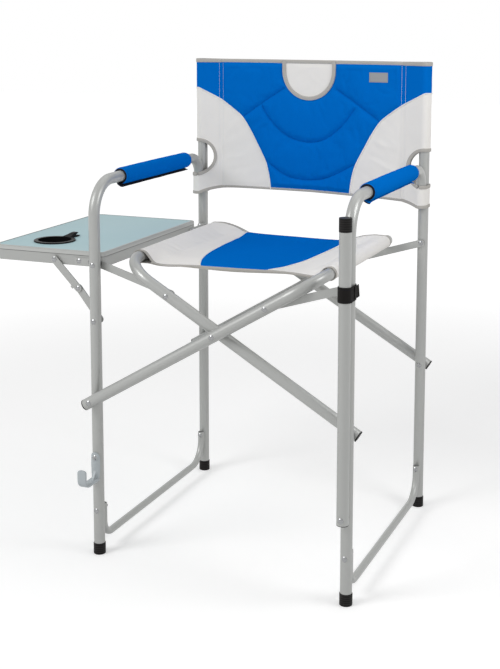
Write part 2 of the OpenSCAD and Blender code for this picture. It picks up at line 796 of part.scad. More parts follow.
// The strap's back half has a hole round the washer of the link's pivot
module strap_back() {
    color(black) difference() {
        intersection() {
            strap_loop();
            translate([half_span - strap_d, strap_split_y + pass_gap / 2, 0])
                cube([2 * strap_d, pitch + strap_d, post_h]);
        }
        rod_y(half_span, link_pivot_z, right_y, right_y + strap_d, washer_d + 2 * pass_gap);
    }
}

module strap_front() {
    color(black) intersection() {
        strap_loop();
        translate([half_span - strap_d, strap_split_y - pass_gap / 2 - pitch - strap_d, 0])
            cube([2 * strap_d, pitch + strap_d, post_h]);
    }
}

// Side table: plan outline with round outer corners and small inner ones, moved in by an inset
module table_plan(inset) {
    ro = corner_outer_r - inset;
    ri = max(corner_inner_r - inset, 1);
    x0 = table_x0 + inset;
    x1 = table_x1 - inset;
    y0 = apron_y + inset;
    y1 = apron_y + table_l - inset;
    translate([x0 + ro, y0]) square([x1 - x0 - ro - ri, y1 - y0]);
    translate([x0, y0 + ro]) square([x1 - x0 - ri, y1 - y0 - 2 * ro]);
    translate([x1 - ri - 1, y0 + ri]) square([ri + 1, y1 - y0 - 2 * ri]);
    translate([x0 + ro, y0 + ro]) circle(r = ro);
    translate([x0 + ro, y1 - ro]) circle(r = ro);
    translate([x1 - ri, y0 + ri]) circle(r = ri);
    translate([x1 - ri, y1 - ri]) circle(r = ri);
}

// Rim: an open frame with a rounded lip over a flat apron, a groove between them and a ledge for the panel
module table_rim() {
    lip_z = rim_h - rim_lip_h;
    ledge_z = rim_h - panel_drop - panel_t - pass_gap;
    y0 = apron_y;
    color(metal) difference() {
        translate([0, 0, rim_z]) difference() {
            for (a = [0:18:90]) linear_extrude(rim_h - rim_edge_r * (1 - sin(a)))
                table_plan(rim_edge_r * (1 - cos(a)));
            translate([0, 0, -1]) linear_extrude(lip_z + 1) table_plan(rim_t);
            translate([0, 0, -1]) linear_extrude(rim_h) table_plan(rim_ledge);
            translate([0, 0, ledge_z]) linear_extrude(rim_h) table_plan(panel_inset);
            translate([0, 0, lip_z - rim_groove]) linear_extrude(rim_groove) difference() {
                table_plan(-1);
                table_plan(rim_groove);
            }
        }
        rod_y(hinge_x, hinge_z, y0 - 1, y0 + 2 * rim_t, tail_d + 2 * tail_fit);
        for (dx = bracket_rivets)
            rod_y(hinge_x - dx, brace_t_z, y0 - 1, y0 + 2 * rim_t, rivet_d + 2 * pin_fit);
        rod_y(brace_t_x, brace_t_z, y0 - 1, y0 + 2 * rim_t, rivet_d + 2 * pin_fit);
        translate([table_x1 - 2 * rim_t, rear_rivet_y, hinge_z]) rotate([0, 90, 0])
            cylinder(d = rivet_d + 2 * pin_fit, h = 4 * rim_t);
    }
}

module table_panel() {
    color(panel_blue) translate([0, 0, panel_z]) linear_extrude(panel_t) difference() {
        table_plan(panel_edge);
        translate([cup_cx, cup_cy]) circle(r = cup_d / 2 + cup_wall + pass_gap);
    }
}

// Bracket between the hinge and the table's front face
module table_front_bracket() {
    color(metal) translate([hinge_x, apron_y, hinge_z])
        rotate([90, 0, 0]) linear_extrude(bracket_t) difference() {
        union() {
            circle(d = bar_w);
            translate([-bracket_len, bracket_low]) square([bracket_len, bar_w / 2 - bracket_low]);
        }
        circle(d = rivet_d + 2 * pin_fit);
        for (dx = bracket_rivets) translate([-dx, brace_table_z]) circle(d = rivet_d + 2 * pin_fit);
    }
}

// Flat strap on the table's inner face, turned across in front of the rear post
module table_rear_bracket() {
    x0 = table_x1;
    y0 = rear_rivet_y - rear_strap_grip / 2;
    half = rear_strap_w / 2;
    color(metal) difference() {
        union() {
            translate([x0, y0, hinge_z - half]) cube([bar_t, rear_bar2_y + bar_t - y0, rear_strap_w]);
            translate([hinge_x, rear_bar2_y, hinge_z - half])
                cube([x0 + bar_t - hinge_x, bar_t, rear_strap_w]);
            rod_y(hinge_x, hinge_z, rear_bar2_y, rear_bar2_y + bar_t, rear_strap_w);
        }
        rod_y(hinge_x, hinge_z, rear_bar2_y - 1, rear_face, rivet_d + 2 * pin_fit);
        translate([x0 - 1, rear_rivet_y, hinge_z]) rotate([0, 90, 0])
            cylinder(d = rivet_d + 2 * pin_fit, h = bar_t + 2);
    }
}

module table_rivets() {
    inner = apron_y + rim_t;
    color(metal) {
        for (dx = bracket_rivets) rivet(hinge_x - dx, brace_t_z, bar2_y, inner);
        // This head passes behind the leg when the table hangs down, so it is a low one
        rivet(brace_t_x, brace_t_z, bar1_y - pass_gap, inner, bar_washer_t - 2 * pass_gap);
        rod_y(brace_t_x, brace_t_z, bar1_y + bar_t + pass_gap, apron_y, shoulder_d);
        translate([table_x1 - rim_t, rear_rivet_y, hinge_z]) rotate([0, 90, 0]) {
            cylinder(d = rivet_d, h = rim_t + bar_t);
            translate([0, 0, rim_t + bar_t]) rivet_dome();
            rotate([180, 0, 0]) rivet_dome();
        }
    }
}

// Table brace: two flat bars with a knee

module upper_brace_bar() {
    color(metal) {
        flat_bar(brace_t_x, brace_t_z, bar1_y, upper_len, upper_angle, bar_w, bar_t);
        translate([brace_k_x, bar1_y + bar_t, brace_k_z]) rotate([90, 0, 0]) rotate([0, 0, upper_angle])
            translate([-bar_w / 2 - nub_s, -bar_w / 2 - nub_s / 2])
                linear_extrude(bar_t) square([nub_s, nub_s]);
    }
}

module knee_rivet() {
    color(metal) blind_rivet(brace_k_x, brace_k_z, bar1_y, bar1_y + bar_t);
}

module lower_brace_bar() {
    color(metal) flat_bar(-half_span, brace_l_z, bar2_y, lower_len, lower_angle, bar_w, bar_t);
}

// Cup holder: a flange on the panel and a shallow cup through it
module cup_holder() {
    flange_r = cup_flange_d / 2;
    r = cup_d / 2;
    edge = 1.2;
    color(black) translate([cup_cx, cup_cy, cup_top - cup_flange_t]) rotate_extrude() difference() {
        union() {
            square([flange_r, cup_flange_t - edge]);
            square([flange_r - edge, cup_flange_t]);
            translate([flange_r - edge, cup_flange_t - edge]) circle(r = edge);
            translate([0, cup_flange_t - cup_depth - cup_wall]) square([r + cup_wall, cup_depth + cup_wall]);
        }
        translate([-flange_r, cup_flange_t - cup_depth]) square([flange_r + r, cup_depth + 1]);
        translate([-flange_r, -cup_depth]) square([flange_r, 2 * cup_depth]);
    }
}

// Raised tab on the panel behind the cup
module cup_tab() {
    reach = cup_flange_d / 2 + pass_gap;
    color(black) translate([cup_cx, cup_cy, panel_z + panel_t]) rotate([0, 0, tab_angle])
        translate([reach, 0, 0]) linear_extrude(cup_flange_t) {
            translate([0, -tab_w / 2]) square([tab_l - tab_w / 2, tab_w]);
            translate([tab_l - tab_w / 2, 0]) circle(d = tab_w);
        }
}

translate(origin) {
    leg_arm_tube(-half_span, left_y,  // left_leg_arm_tube
        [strut_rivet_z, hook_rivet_z, low_pivot_z, brace_l_z, link_pivot_z]);
    rear_post(-half_span, left_y + leg_depth);  // left_rear_post
    foot(-half_span, left_y);  // left_front_foot
    foot(-half_span, left_y + leg_depth);  // left_rear_foot
    stretcher(-half_span, left_y);  // left_stretcher
    left_frame_rivets();
    left_pivot_washers();
    arm_pad(-half_span, left_y);  // left_arm_pad
    footrest_hook();
    back_sleeve(-half_span, left_y + leg_depth);  // left_back_sleeve
    back_panel();
    leg_arm_tube(half_span, right_y,  // right_leg_arm_tube
        [strut_rivet_z, foot_pivot_z, low_pivot_z, link_pivot_z]);
    rear_post(half_span, right_y + leg_depth);  // right_rear_post
    foot(half_span, right_y);  // right_front_foot
    foot(half_span, right_y + leg_depth);  // right_rear_foot
    stretcher(half_span, right_y);  // right_stretcher
    right_frame_rivets();
    right_pivot_washers();
    arm_pad(half_span, right_y);  // right_arm_pad
    back_sleeve(half_span, right_y + leg_depth);  // right_back_sleeve
    strap_back();
    cross_tube(1, right_y);  // right_cross_tube
    cross_plugs(1, right_y);  // right_cross_plugs
    right_cross_rivets();
    right_cross_washers();
    seat_sleeve(1, right_y);  // seat_right_sleeve
    seat_panel();
    cross_tube(-1, left_y);  // left_cross_tube
    cross_plugs(-1, left_y);  // left_cross_plugs
    left_cross_rivets();
    seat_sleeve(-1, left_y);  // seat_left_sleeve
    link_bar(-1, bar1_y);  // front_left_link
    link_bar(-1, rear_bar1_y);  // rear_left_link
    link_bar(1, right_y + tube_r + bar_washer_t);  // front_right_link
    link_bar(1, right_y + leg_depth - tube_r - bar_washer_t - bar_t);  // rear_right_link
    footrest_bar();
    footrest_cap();
    footrest_insert();
    strap_front();
    table_panel();
    table_rim();
    table_front_bracket();
    table_rear_bracket();
    table_rivets();
    cup_holder();
    cup_tab();
    upper_brace_bar();
    knee_rivet();
    lower_brace_bar();
}
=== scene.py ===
import math

import bmesh
import bpy
import numpy as np
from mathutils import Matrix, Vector, noise
from mathutils.geometry import delaunay_2d_cdt, tessellate_polygon


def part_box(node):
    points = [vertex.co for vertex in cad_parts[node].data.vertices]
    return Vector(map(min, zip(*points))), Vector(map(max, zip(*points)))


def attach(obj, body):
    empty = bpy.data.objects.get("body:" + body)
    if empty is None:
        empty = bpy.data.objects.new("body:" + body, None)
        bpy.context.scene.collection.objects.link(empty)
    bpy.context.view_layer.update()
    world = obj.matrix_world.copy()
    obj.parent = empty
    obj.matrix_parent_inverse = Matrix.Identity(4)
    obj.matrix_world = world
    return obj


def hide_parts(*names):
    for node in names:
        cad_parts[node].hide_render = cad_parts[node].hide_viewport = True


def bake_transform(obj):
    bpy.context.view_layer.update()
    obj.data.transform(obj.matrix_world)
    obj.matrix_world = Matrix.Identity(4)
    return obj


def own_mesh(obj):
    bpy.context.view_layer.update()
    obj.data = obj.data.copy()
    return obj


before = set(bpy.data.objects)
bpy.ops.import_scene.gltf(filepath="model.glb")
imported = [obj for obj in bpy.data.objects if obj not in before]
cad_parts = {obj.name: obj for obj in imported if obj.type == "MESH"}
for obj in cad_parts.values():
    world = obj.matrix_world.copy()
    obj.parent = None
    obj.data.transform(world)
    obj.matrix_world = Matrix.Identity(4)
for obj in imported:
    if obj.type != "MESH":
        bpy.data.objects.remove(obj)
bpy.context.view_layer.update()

bl_info = {
    "name": "Tall Director Chair",
    "version": (1, 0, 0),
    "blender": (4, 5, 0),
    "location": "View3D > Sidebar > Chair",
    "description": "Finishes, cloth covers, pads and straps for a tall folding director chair with a side table",
    "category": "Object",
}

MM = 0.001

# The chair's own millimetres: x from the middle, y from the right front leg, z from the floor
HALF_SPAN = 296.0  # from the middle to a post
LEFT_Y = 28.0  # the left side stands this far back
LEG_DEPTH = 570.0
TUBE_R = 12.5
LOOP_R = 14.4  # cloth round a post or a rail
ARM_Z = 843.0
RAIL_X, RAIL_Z = 226.0, 672.0
SEAM_X = 242.0  # where the back's panel meets its sleeves
BACK_TOP = 1090.6
FRONT_SKIN, REAR_SKIN = 1.6, 1.4  # from the back cloth's middle layer to its faces
CUT_X, CUT_Z, CUT_R = 300.0, 842.0, 43.0  # the arm's cut-out in a back sleeve
CUT_LOW, CUT_HIGH = CUT_Z - CUT_R, CUT_Z + CUT_R
PATCH_X, PATCH_Z, PATCH_LOW, PATCH_HALF = -4.0, 1066.0, 993.0, 71.0
TAG = (155.5, 203.0, 1042.0, 1065.5)
CLOTH_CELL = 4.5
TAPE_IN, ROW_IN = 0.28, 0.62  # shares of a tape's width from an edge to the tape's middle and its stitches
FINE, BOLD = 0.8, 1.1  # stitches against the thread's thickness
OUT, ALONG_Y, UP = (0, -1, 0), (0, 1, 0), (0, 0, 1)

EFFECTS = {}
FINISHES = {}


def chair_origin():
    """The row frame's place of the chair's own zero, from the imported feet."""
    low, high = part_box("right_front_foot")
    return Vector(((low.x + high.x) / 2 - HALF_SPAN * MM, (low.y + high.y) / 2, 0))


ORIGIN = chair_origin()


def spot(x, y, z):
    """A point in the chair's own millimetres, in metres in the row frame."""
    return (x * MM + ORIGIN.x, y * MM + ORIGIN.y, z * MM)


def side_word(side):
    return "left" if side < 0 else "right"


# Sizes and colours that a user would change


def length(name, about, value, low, high):
    return bpy.props.FloatProperty(name=name, description=about, default=value, min=low, max=high,
                                   subtype="DISTANCE", unit="LENGTH", precision=4)


def colour(name, about, value):
    return bpy.props.FloatVectorProperty(name=name, description=about, default=value, size=3, min=0, max=1,
                                         subtype="COLOR")


class ChairSizes(bpy.types.PropertyGroup):
    """Sizes of the cloth, pads and trim, in metres"""
    quilt_puff: length("Quilt Puff", "How far the back's padding stands out between its seams", 0.0055, 0, 0.01)
    seat_puff: length("Seat Puff", "How far the blue seat panel stands out inside its seam", 0.0024, 0, 0.008)
    binding_width: length("Binding Width", "Width of the tape on the cloth's edges", 0.0095, 0.004, 0.016)
    binding_thickness: length("Binding Thickness", "Thickness of that tape over both faces", 0.0046, 0.002, 0.008)
    piping: length("Piping", "Radius of the pale piping between two cloths", 0.0014, 0.0004, 0.003)
    stitch: length("Stitch", "Length from one stitch to the next", 0.0042, 0.002, 0.008)
    thread: length("Thread", "Thickness of the sewing thread", 0.0009, 0.0003, 0.002)
    pad_foam: length("Arm Pad Foam", "Thickness of the arm pad's foam and cover", 0.0060, 0.002, 0.007)
    strap_thickness: length("Strap Thickness", "Thickness of the webbing strap", 0.0017, 0.001, 0.003)


class ChairColours(bpy.types.PropertyGroup):
    """Colours of the finishes"""
    blue: colour("Blue Cloth", "Blue woven cloth", (0.0005, 0.130, 0.50))
    grey: colour("Grey Cloth", "Pale grey woven cloth", (0.80, 0.782, 0.753))
    binding: colour("Binding", "Tape on the cloth's edges", (0.40, 0.385, 0.36))
    # Near-black woven cloth: the arm pads' underside flaps and bores, and the strap's stitches
    lining: colour("Near-Black Cloth", "Dark lining of the arm pads", (0.012, 0.014, 0.022))
    metal: colour("Metal", "Satin aluminium tube", (0.435, 0.442, 0.430))
    black: colour("Black Plastic", "Feet, caps and washers", (0.0068, 0.0062, 0.006))
    cast: colour("Cast Grey", "Grey hook", (0.46, 0.50, 0.52))
    laminate: colour("Table Top", "Pale blue table top", (0.385, 0.555, 0.585))


# Lines and surfaces


def unit(v):
    return v / max(np.linalg.norm(v), 1e-9)


def ease(t):
    t = np.clip(t, 0, 1)
    return t * t * (3 - 2 * t)


def bulge(u):
    return 1 - u * u


def ripple(x, z, scale, seed):
    """Smooth, repeatable unevenness between -1 and 1."""
    return noise.noise(Vector((x / scale, z / scale, seed)))


def arc(u, w, r, start, end, count, deep=None):
    """Points on an arc round (u, w) between two angles in degrees; deep is its second radius."""
    return [(u + r * math.cos(a), w + (deep or r) * math.sin(a)) for a in np.radians(np.linspace(start, end, count))]


def resample(path, step):
    """The same line with points about step apart."""
    path = np.array(path, float)
    along = np.concatenate([[0], np.cumsum(np.linalg.norm(np.diff(path, axis=0), axis=1))])
    at = np.linspace(0, along[-1], max(2, int(round(along[-1] / step)) + 1))
    return np.stack([np.interp(at, along, path[:, i]) for i in range(path.shape[1])], 1)


def smooth_line(knots, step):
    """A round line through the knots (Catmull-Rom), resampled."""
    k = np.array(knots, float)
    k = np.vstack([2 * k[0] - k[1], k, 2 * k[-1] - k[-2]])
    out = []
    for i in range(1, len(k) - 2):
        a, b, c, d = k[i - 1:i + 3]
        for t in np.linspace(0, 1, 24, endpoint=i == len(k) - 3):
            out.append(0.5 * (2 * b + (c - a) * t + (2 * a - 5 * b + 4 * c - d) * t * t
                              + (3 * b - a - 3 * c + d) * t ** 3))
    return resample(out, step)


def round_lengths(ring):
    """How far round a section each of its points lies."""
    return np.cumsum([0.0] + [math.hypot(b[0] - a[0], b[1] - a[1]) for a, b in zip(ring, ring[1:])])


def grid_faces(rows, count, base=0, ring=True):
    """Faces between rows of count points, each row a closed ring or an open line."""
    faces = []
    for start in range(base, base + rows * count, count):
        for i in range(count if ring else count - 1):
            a, b = start + i, start + (i + 1) % count
            faces.append((a, b, b + count, a + count))
    return faces


def cap_faces(points, loops):
    """Triangles over an upright section between its loops of point numbers."""
    order = [i for loop in loops for i in loop]
    flat = [[Vector((points[i][0], points[i][2], 0)) for i in loop] for loop in loops]
    return [tuple(order[i] for i in tri) for tri in tessellate_polygon(flat)]


def joined(parts):
    """One list of points and faces from several."""
    points, faces = [], []
    for p, f in parts:
        base = len(points)
        points += list(p)
        faces += [tuple(i + base for i in g) for g in f]
    return points, faces


def tape(path, across, width, thick, closed=False, sides=12, square=0.55):
    """Points and faces of a flat tape with round edges along a path. across is its wide direction."""
    path = np.array(path, float)
    count = len(path)
    across = np.broadcast_to(np.array(across, float), path.shape)
    width, thick = (np.broadcast_to(np.array(size, float), count) for size in (width, thick))
    points = []
    for i in range(count):
        before = path[(i - 1) % count] if closed or i else path[0]
        after = path[(i + 1) % count] if closed or i < count - 1 else path[-1]
        along = unit(after - before)
        wide = unit(across[i] - along * (across[i] @ along))
        deep = np.cross(along, wide)
        for j in range(sides):
            a = 2 * math.pi * j / sides
            u, v = (math.copysign(abs(c) ** square, c) for c in (math.cos(a), math.sin(a)))
            points.append(path[i] + wide * (u * width[i] / 2) + deep * (v * thick[i] / 2))
    faces = grid_faces(count - 1, sides)
    if closed:
        faces += [tuple(i % len(points) for i in f) for f in grid_faces(1, sides, base=(count - 1) * sides)]
    else:
        faces += [tuple(range(sides))[::-1], tuple(range((count - 1) * sides, count * sides))]
    return points, faces


def piping(line, across, sizes):
    size = 2 * sizes.piping / MM
    return tape(line, across, size, size, sides=8, square=1)


def beside(path):
    """The direction across a line on an upright cloth, level with that cloth."""
    turn = np.gradient(np.array(path, float), axis=0)
    return np.stack([turn[:, 2], 0 * turn[:, 1], -turn[:, 0]], 1) + (0, 0, 1e-9)


def stitches(path, out, pitch, thick):
    """A row of small raised stitches along a path, standing out along out."""
    source, fine = np.array(path, float), resample(path, pitch)
    normals = np.broadcast_to(np.array(out, float), source.shape)
    sides = 5
    pairs = [(k, (k + 1) % sides) for k in range(sides)]
    faces = [(0, 1 + b, 1 + a) for a, b in pairs]
    faces += [(1 + a, 1 + b, 1 + sides + b, 1 + sides + a) for a, b in pairs]
    faces += [(1 + 2 * sides, 1 + sides + a, 1 + sides + b) for a, b in pairs]
    parts = []
    for a, b in zip(fine, fine[1:]):
        middle, along = (a + b) / 2, unit(b - a)
        n = normals[np.argmin(np.linalg.norm(source - middle, axis=1))]
        n = unit(n - along * (n @ along))
        side = np.cross(along, n)
        reach = along * (np.linalg.norm(b - a) * 0.36)
        ring = [(n * math.sin(w) + side * math.cos(w)) * thick * 0.4 + n * thick * 0.2
                for w in np.arange(sides) * 2 * math.pi / sides]
        points = [middle - reach, *(middle + reach * t + p for t in (-0.6, 0.6) for p in ring), middle + reach]
        parts.append((points, faces))
    return joined(parts)


def extruded(outline, place):
    """A closed solid from an outline; place(u, w, end) gives each corner's point at end -1 or 1."""
    n = len(outline)
    points = [place(u, w, end) for end in (-1, 1) for u, w in outline]
    return points, grid_faces(1, n) + [tuple(range(n))[::-1], tuple(range(n, 2 * n))]


# Cut cloth


def inside(points, loop):
    """Which 2D points lie in a closed loop."""
    x, z = points[:, 0], points[:, 1]
    hit = np.zeros(len(points), bool)
    for (x0, z0), (x1, z1) in zip(loop, np.roll(loop, -1, axis=0)):
        crosses = (z0 > z) != (z1 > z)
        if abs(z1 - z0) > 1e-12:
            hit ^= crosses & (x < (x1 - x0) * (z - z0) / (z1 - z0) + x0)
    return hit


def distance_to(points, lines):
    """Each 2D point's distance to the nearest of some lines."""
    best = np.full(len(points), 1e9)
    for line in lines:
        for a, b in zip(line[:-1], line[1:]):
            d = b - a
            t = np.clip(((points - a) @ d) / max(d @ d, 1e-12), 0, 1)
            best = np.minimum(best, np.linalg.norm(points - a - t[:, None] * d, axis=1))
    return best


def double_area(flat, face):
    """Twice the signed area of a triangle."""
    a, b, c = (flat[i] for i in face[:3])
    return (b[0] - a[0]) * (c[1] - a[1]) - (b[1] - a[1]) * (c[0] - a[0])


def cut_cloth(outline, holes, seams, spacing):
    """Points and triangles of a flat cloth whose edges follow its outline, holes and seams, and their middles."""
    loops = [resample(np.vstack([o, o[:1]]), spacing)[:-1] for o in [outline, *holes]]
    points, edges = [], []
    for line in loops + [resample(s, spacing) for s in seams]:
        base, count = len(points), len(line)
        points += list(line)
        last = count if base < sum(map(len, loops)) else count - 1
        edges += [(base + i, base + (i + 1) % count) for i in range(last)]

    def on_cloth(places):
        held = inside(places, loops[0])
        for hole in loops[1:]:
            held &= ~inside(places, hole)
        return held

    fixed = np.array(points)
    low, high = np.array(outline).min(0), np.array(outline).max(0)
    row_share = 0.87
    grid = np.array([(low[0] + (c + 0.5 * (r % 2)) * spacing, low[1] + r * spacing * row_share)
                     for r in range(int((high[1] - low[1]) / (spacing * row_share)) + 1)
                     for c in range(int((high[0] - low[0]) / spacing) + 2)])
    grid = grid[on_cloth(grid)]
    near = np.array([np.min(np.sum((fixed - g) ** 2, axis=1)) for g in grid])
    grid = grid[near > (0.55 * spacing) ** 2]
    made = delaunay_2d_cdt([Vector(p) for p in np.vstack([fixed, grid])], edges, [], 0, 1e-4)
    flat = np.array([tuple(v) for v in made[0]])
    faces = [tuple(f) for f in made[2]]
    middles = np.array([flat[list(f)].mean(0) for f in faces])
    keep = on_cloth(middles)
    faces = [f if double_area(flat, f) > 0 else f[::-1] for f, k in zip(faces, keep) if k]
    return flat, faces, middles[keep]


def close_sheet(front, rear, faces):
    """Points and faces of a closed sheet from its front and rear points and the front's faces."""
    count = len(front)
    sides = {(a, b): True for f in faces for a, b in zip(f, f[1:] + f[:1])}
    every = list(faces) + [tuple(i + count for i in f[::-1]) for f in faces]
    every += [(b, a, a + count, b + count) for a, b in sides if (b, a) not in sides]
    return list(front) + list(rear), every


def sheet_tints(blue, every):
    """The first finish on a closed sheet's blue faces, front and rear, and the second on the others."""
    return [0 if b else 1 for b in blue] * 2 + [1] * (len(every) - 2 * len(blue))


# Pieces


def add_object(name, data):
    piece = bpy.data.objects.new(name, data)
    bpy.context.scene.collection.objects.link(piece)
    return piece


def make_mesh(name, shape, finishes, tints=None, flat=None):
    """A smooth mesh object from points in chair millimetres; flat gives each point's place on the flat cloth."""
    points, faces = shape
    mesh = bpy.data.meshes.new(name)
    mesh.from_pydata([spot(*p) for p in points], [], [tuple(f) for f in faces])
    for finish in finishes:
        mesh.materials.append(FINISHES[finish])
    if tints is not None:
        mesh.polygons.foreach_set("material_index", np.array(tints, np.int32))
    if flat is None:
        flat = [(p[0] + 0.3 * p[1], p[2] + 0.7 * p[1]) for p in points]
    layer = mesh.uv_layers.new(name="Cloth")
    corners = np.zeros(len(mesh.loops), np.int32)
    mesh.loops.foreach_get("vertex_index", corners)
    layer.data.foreach_set("uv", (np.array(flat, float)[corners] * MM).astype(np.float32).ravel())
    mesh.shade_smooth()
    mesh.set_sharp_from_angle(angle=math.radians(50))
    mesh.validate()
    return add_object(name, mesh)


def outward(piece):
    """Turns a closed mesh's faces outward."""
    work = bmesh.new()
    work.from_mesh(piece.data)
    bmesh.ops.remove_doubles(work, verts=work.verts, dist=1e-6)
    bmesh.ops.recalc_face_normals(work, faces=work.faces)
    work.to_mesh(piece.data)
    work.free()
    return piece


def fold_with_back(piece):
    """The cloth between the two back sleeves goes with the left frame, on a copy of its own mesh."""
    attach(piece, "left_frame")
    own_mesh(piece)


def bend_with_seat(piece):
    """The seat cloth keeps its place: its transform is baked into its points."""
    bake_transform(piece)


def hand_over(piece, carrier, replaces=()):
    """Puts a piece on its body, or moves it by a rule above, and hides the nodes that it stands for."""
    if callable(carrier):
        carrier(piece)
    else:
        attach(piece, carrier)
    if replaces:
        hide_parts(*replaces)
    return piece


def add_piece(name, shape, finishes, carrier, slot=None, replaces=(), **look):
    """A piece on its body. slot is only read to turn a closed piece outward; stitches have none, and aren't turned
    outward.
    """
    piece = make_mesh(name, shape, finishes, **look)
    return hand_over(outward(piece) if slot else piece, carrier, replaces)


# Materials


def feed(tree, node, feeds):
    """Sets or links a node's inputs."""
    for key, value in feeds.items():
        if isinstance(value, bpy.types.NodeSocket):
            tree.links.new(value, node.inputs[key])
        else:
            node.inputs[key].default_value = value


def put(tree, kind, feeds=None, **settings):
    """A new node with its settings and inputs."""
    node = tree.nodes.new(kind)
    for key, value in settings.items():
        setattr(node, key, value)
    feed(tree, node, feeds or {})
    return node


def math_node(tree, operation, a, b=0.0, c=0.5):
    return put(tree, "ShaderNodeMath", {0: a, 1: b, 2: c}, operation=operation).outputs[0]


def noise_node(tree, place, scale, detail, rough=0.5):
    feeds = {"Vector": place, "Scale": scale, "Detail": detail, "Roughness": rough}
    return put(tree, "ShaderNodeTexNoise", feeds).outputs["Fac"]


def map_range(tree, value, low, high, to_low, to_high, **settings):
    feeds = {"Value": value, "From Min": low, "From Max": high, "To Min": to_low, "To Max": to_high}
    return put(tree, "ShaderNodeMapRange", feeds, **settings).outputs[0]


def bumped(tree, height, strength, distance):
    return put(tree, "ShaderNodeBump", {"Height": height, "Strength": strength, "Distance": distance}).outputs[0]


def mapped(tree, place, scale):
    return put(tree, "ShaderNodeMapping", {"Vector": place, "Scale": scale}).outputs[0]


def use_effect(tree, name, feeds):
    return put(tree, "ShaderNodeGroup", feeds, node_tree=EFFECTS[name]).outputs


def effect(name, place, **amounts):
    """A node group with a place and amounts as inputs, and a height and a shade as outputs."""
    tree = bpy.data.node_groups.new(name, "ShaderNodeTree")
    tree.interface.new_socket(place, in_out="INPUT", socket_type="NodeSocketVector")
    for label, value in amounts.items():
        tree.interface.new_socket(label, in_out="INPUT", socket_type="NodeSocketFloat").default_value = value
    for label in ("Height", "Shade"):
        tree.interface.new_socket(label, in_out="OUTPUT", socket_type="NodeSocketFloat")
    return tree, tree.nodes.new("NodeGroupInput").outputs, tree.nodes.new("NodeGroupOutput")


def plain_weave():
    """Over and under threads, with thicker threads here and there and soft cloudy shade."""
    tree, given, result = effect("Plain Weave", "Cloth", Threads=1400.0, Slub=0.5)
    cloth = given["Cloth"]
    scaled = put(tree, "ShaderNodeVectorMath", {0: cloth, "Scale": given["Threads"]}, operation="SCALE").outputs[0]
    parts = put(tree, "ShaderNodeSeparateXYZ", {0: scaled}).outputs
    warp, weft = (math_node(tree, "SINE", math_node(tree, "MULTIPLY", parts[i], math.pi)) for i in (0, 1))
    checks = math_node(tree, "ABSOLUTE", math_node(tree, "MULTIPLY", warp, weft))
    slubs = [noise_node(tree, mapped(tree, cloth, scale), 1.0, 2.0) for scale in ((60, 1100, 1), (1100, 60, 1))]
    both = math_node(tree, "ADD", *slubs)
    soft = math_node(tree, "MULTIPLY", noise_node(tree, cloth, 14.0, 4.0, 0.6), 0.6)
    feed(tree, result, {
        "Height": math_node(tree, "ADD", checks, math_node(tree, "MULTIPLY", both, given["Slub"])),
        "Shade": math_node(tree, "ADD", soft, math_node(tree, "MULTIPLY_ADD", both, 0.2, 0.5))})
    return tree


def drawn_grain():
    """Fine grain of satin metal or moulded plastic, with faint handling marks."""
    tree, given, result = effect("Fine Grain", "Place", Grain=900.0, Marks=9.0)
    feed(tree, result, {"Height": noise_node(tree, given["Place"], given["Grain"], 2.0),
                        "Shade": noise_node(tree, given["Place"], given["Marks"], 5.0, 0.62)})
    return tree


def start_material(name):
    material = bpy.data.materials.new(name)
    material.use_nodes = True
    tree = material.node_tree
    tree.nodes.clear()
    shader = put(tree, "ShaderNodeBsdfPrincipled")
    put(tree, "ShaderNodeOutputMaterial", {0: shader.outputs[0]})
    return material, tree, shader


def shade_of(colour, by):
    return tuple(min(1.0, max(0.0, c * by)) for c in colour)


def between(tree, factor, tint, dark, light):
    """A darker to a lighter shade of a colour, by a factor that varies over the surface."""
    feeds = {0: factor, 6: (*shade_of(tint, dark), 1), 7: (*shade_of(tint, light), 1)}
    return put(tree, "ShaderNodeMix", feeds, data_type="RGBA").outputs[2]


def woven(name, tint, threads=1400.0, shades=(0.86, 1.14), rough=0.86, bump=0.25, slub=0.35, shine=0.1,
          depth=0.00025):
    """Woven cloth: threads in the bump, cloudy shade in the colour."""
    material, tree, shader = start_material(name)
    flat = put(tree, "ShaderNodeUVMap", uv_map="Cloth").outputs[0]
    weave = use_effect(tree, "weave", {"Cloth": flat, "Threads": threads, "Slub": slub})
    feed(tree, shader, {"Base Color": between(tree, weave["Shade"], tint, *shades), "Roughness": rough,
                        "Specular IOR Level": shine, "Normal": bumped(tree, weave["Height"], bump, depth)})
    return material


def hard(name, tint, metallic=0.0, rough=(0.35, 0.45), grain=900.0, marks=9.0, contrast=0.04, bump=0.12,
         shine=0.4, stretch=(1, 1, 1), depth=0.0001, bands=None):
    """Metal or plastic: fine grain in the bump and faint marks in the gloss and colour. bands gives greys at
    heights."""
    material, tree, shader = start_material(name)
    place = put(tree, "ShaderNodeTexCoord").outputs["Object"]
    grainy = use_effect(tree, "grain", {"Place": mapped(tree, place, stretch), "Grain": grain, "Marks": marks})
    shade = between(tree, grainy["Shade"], tint, 1 - contrast, 1 + contrast)
    # Greys by height multiplied into the colour; on the rim they hold a painted shade line under the lip
    if bands:
        low, high = bands[0][0], bands[-1][0]
        height = put(tree, "ShaderNodeSeparateXYZ", {0: place}).outputs[2]
        ramp = put(tree, "ShaderNodeValToRGB", {0: map_range(tree, height, low, high, 0.0, 1.0)})
        for i, (z, grey) in enumerate(bands):
            stop = ramp.color_ramp.elements[i] if i < 2 else ramp.color_ramp.elements.new(1.0)
            stop.position, stop.color = (z - low) / (high - low), (grey, grey, grey, 1)
        shade = put(tree, "ShaderNodeMix", {0: 1.0, 6: shade, 7: ramp.outputs[0]}, data_type="RGBA",
                    blend_type="MULTIPLY").outputs[2]
    feed(tree, shader, {"Base Color": shade, "Roughness": map_range(tree, grainy["Shade"], 0.3, 0.7, *rough),
                        "Metallic": metallic, "Specular IOR Level": shine,
                        "Normal": bumped(tree, grainy["Height"], bump, depth)})
    return material


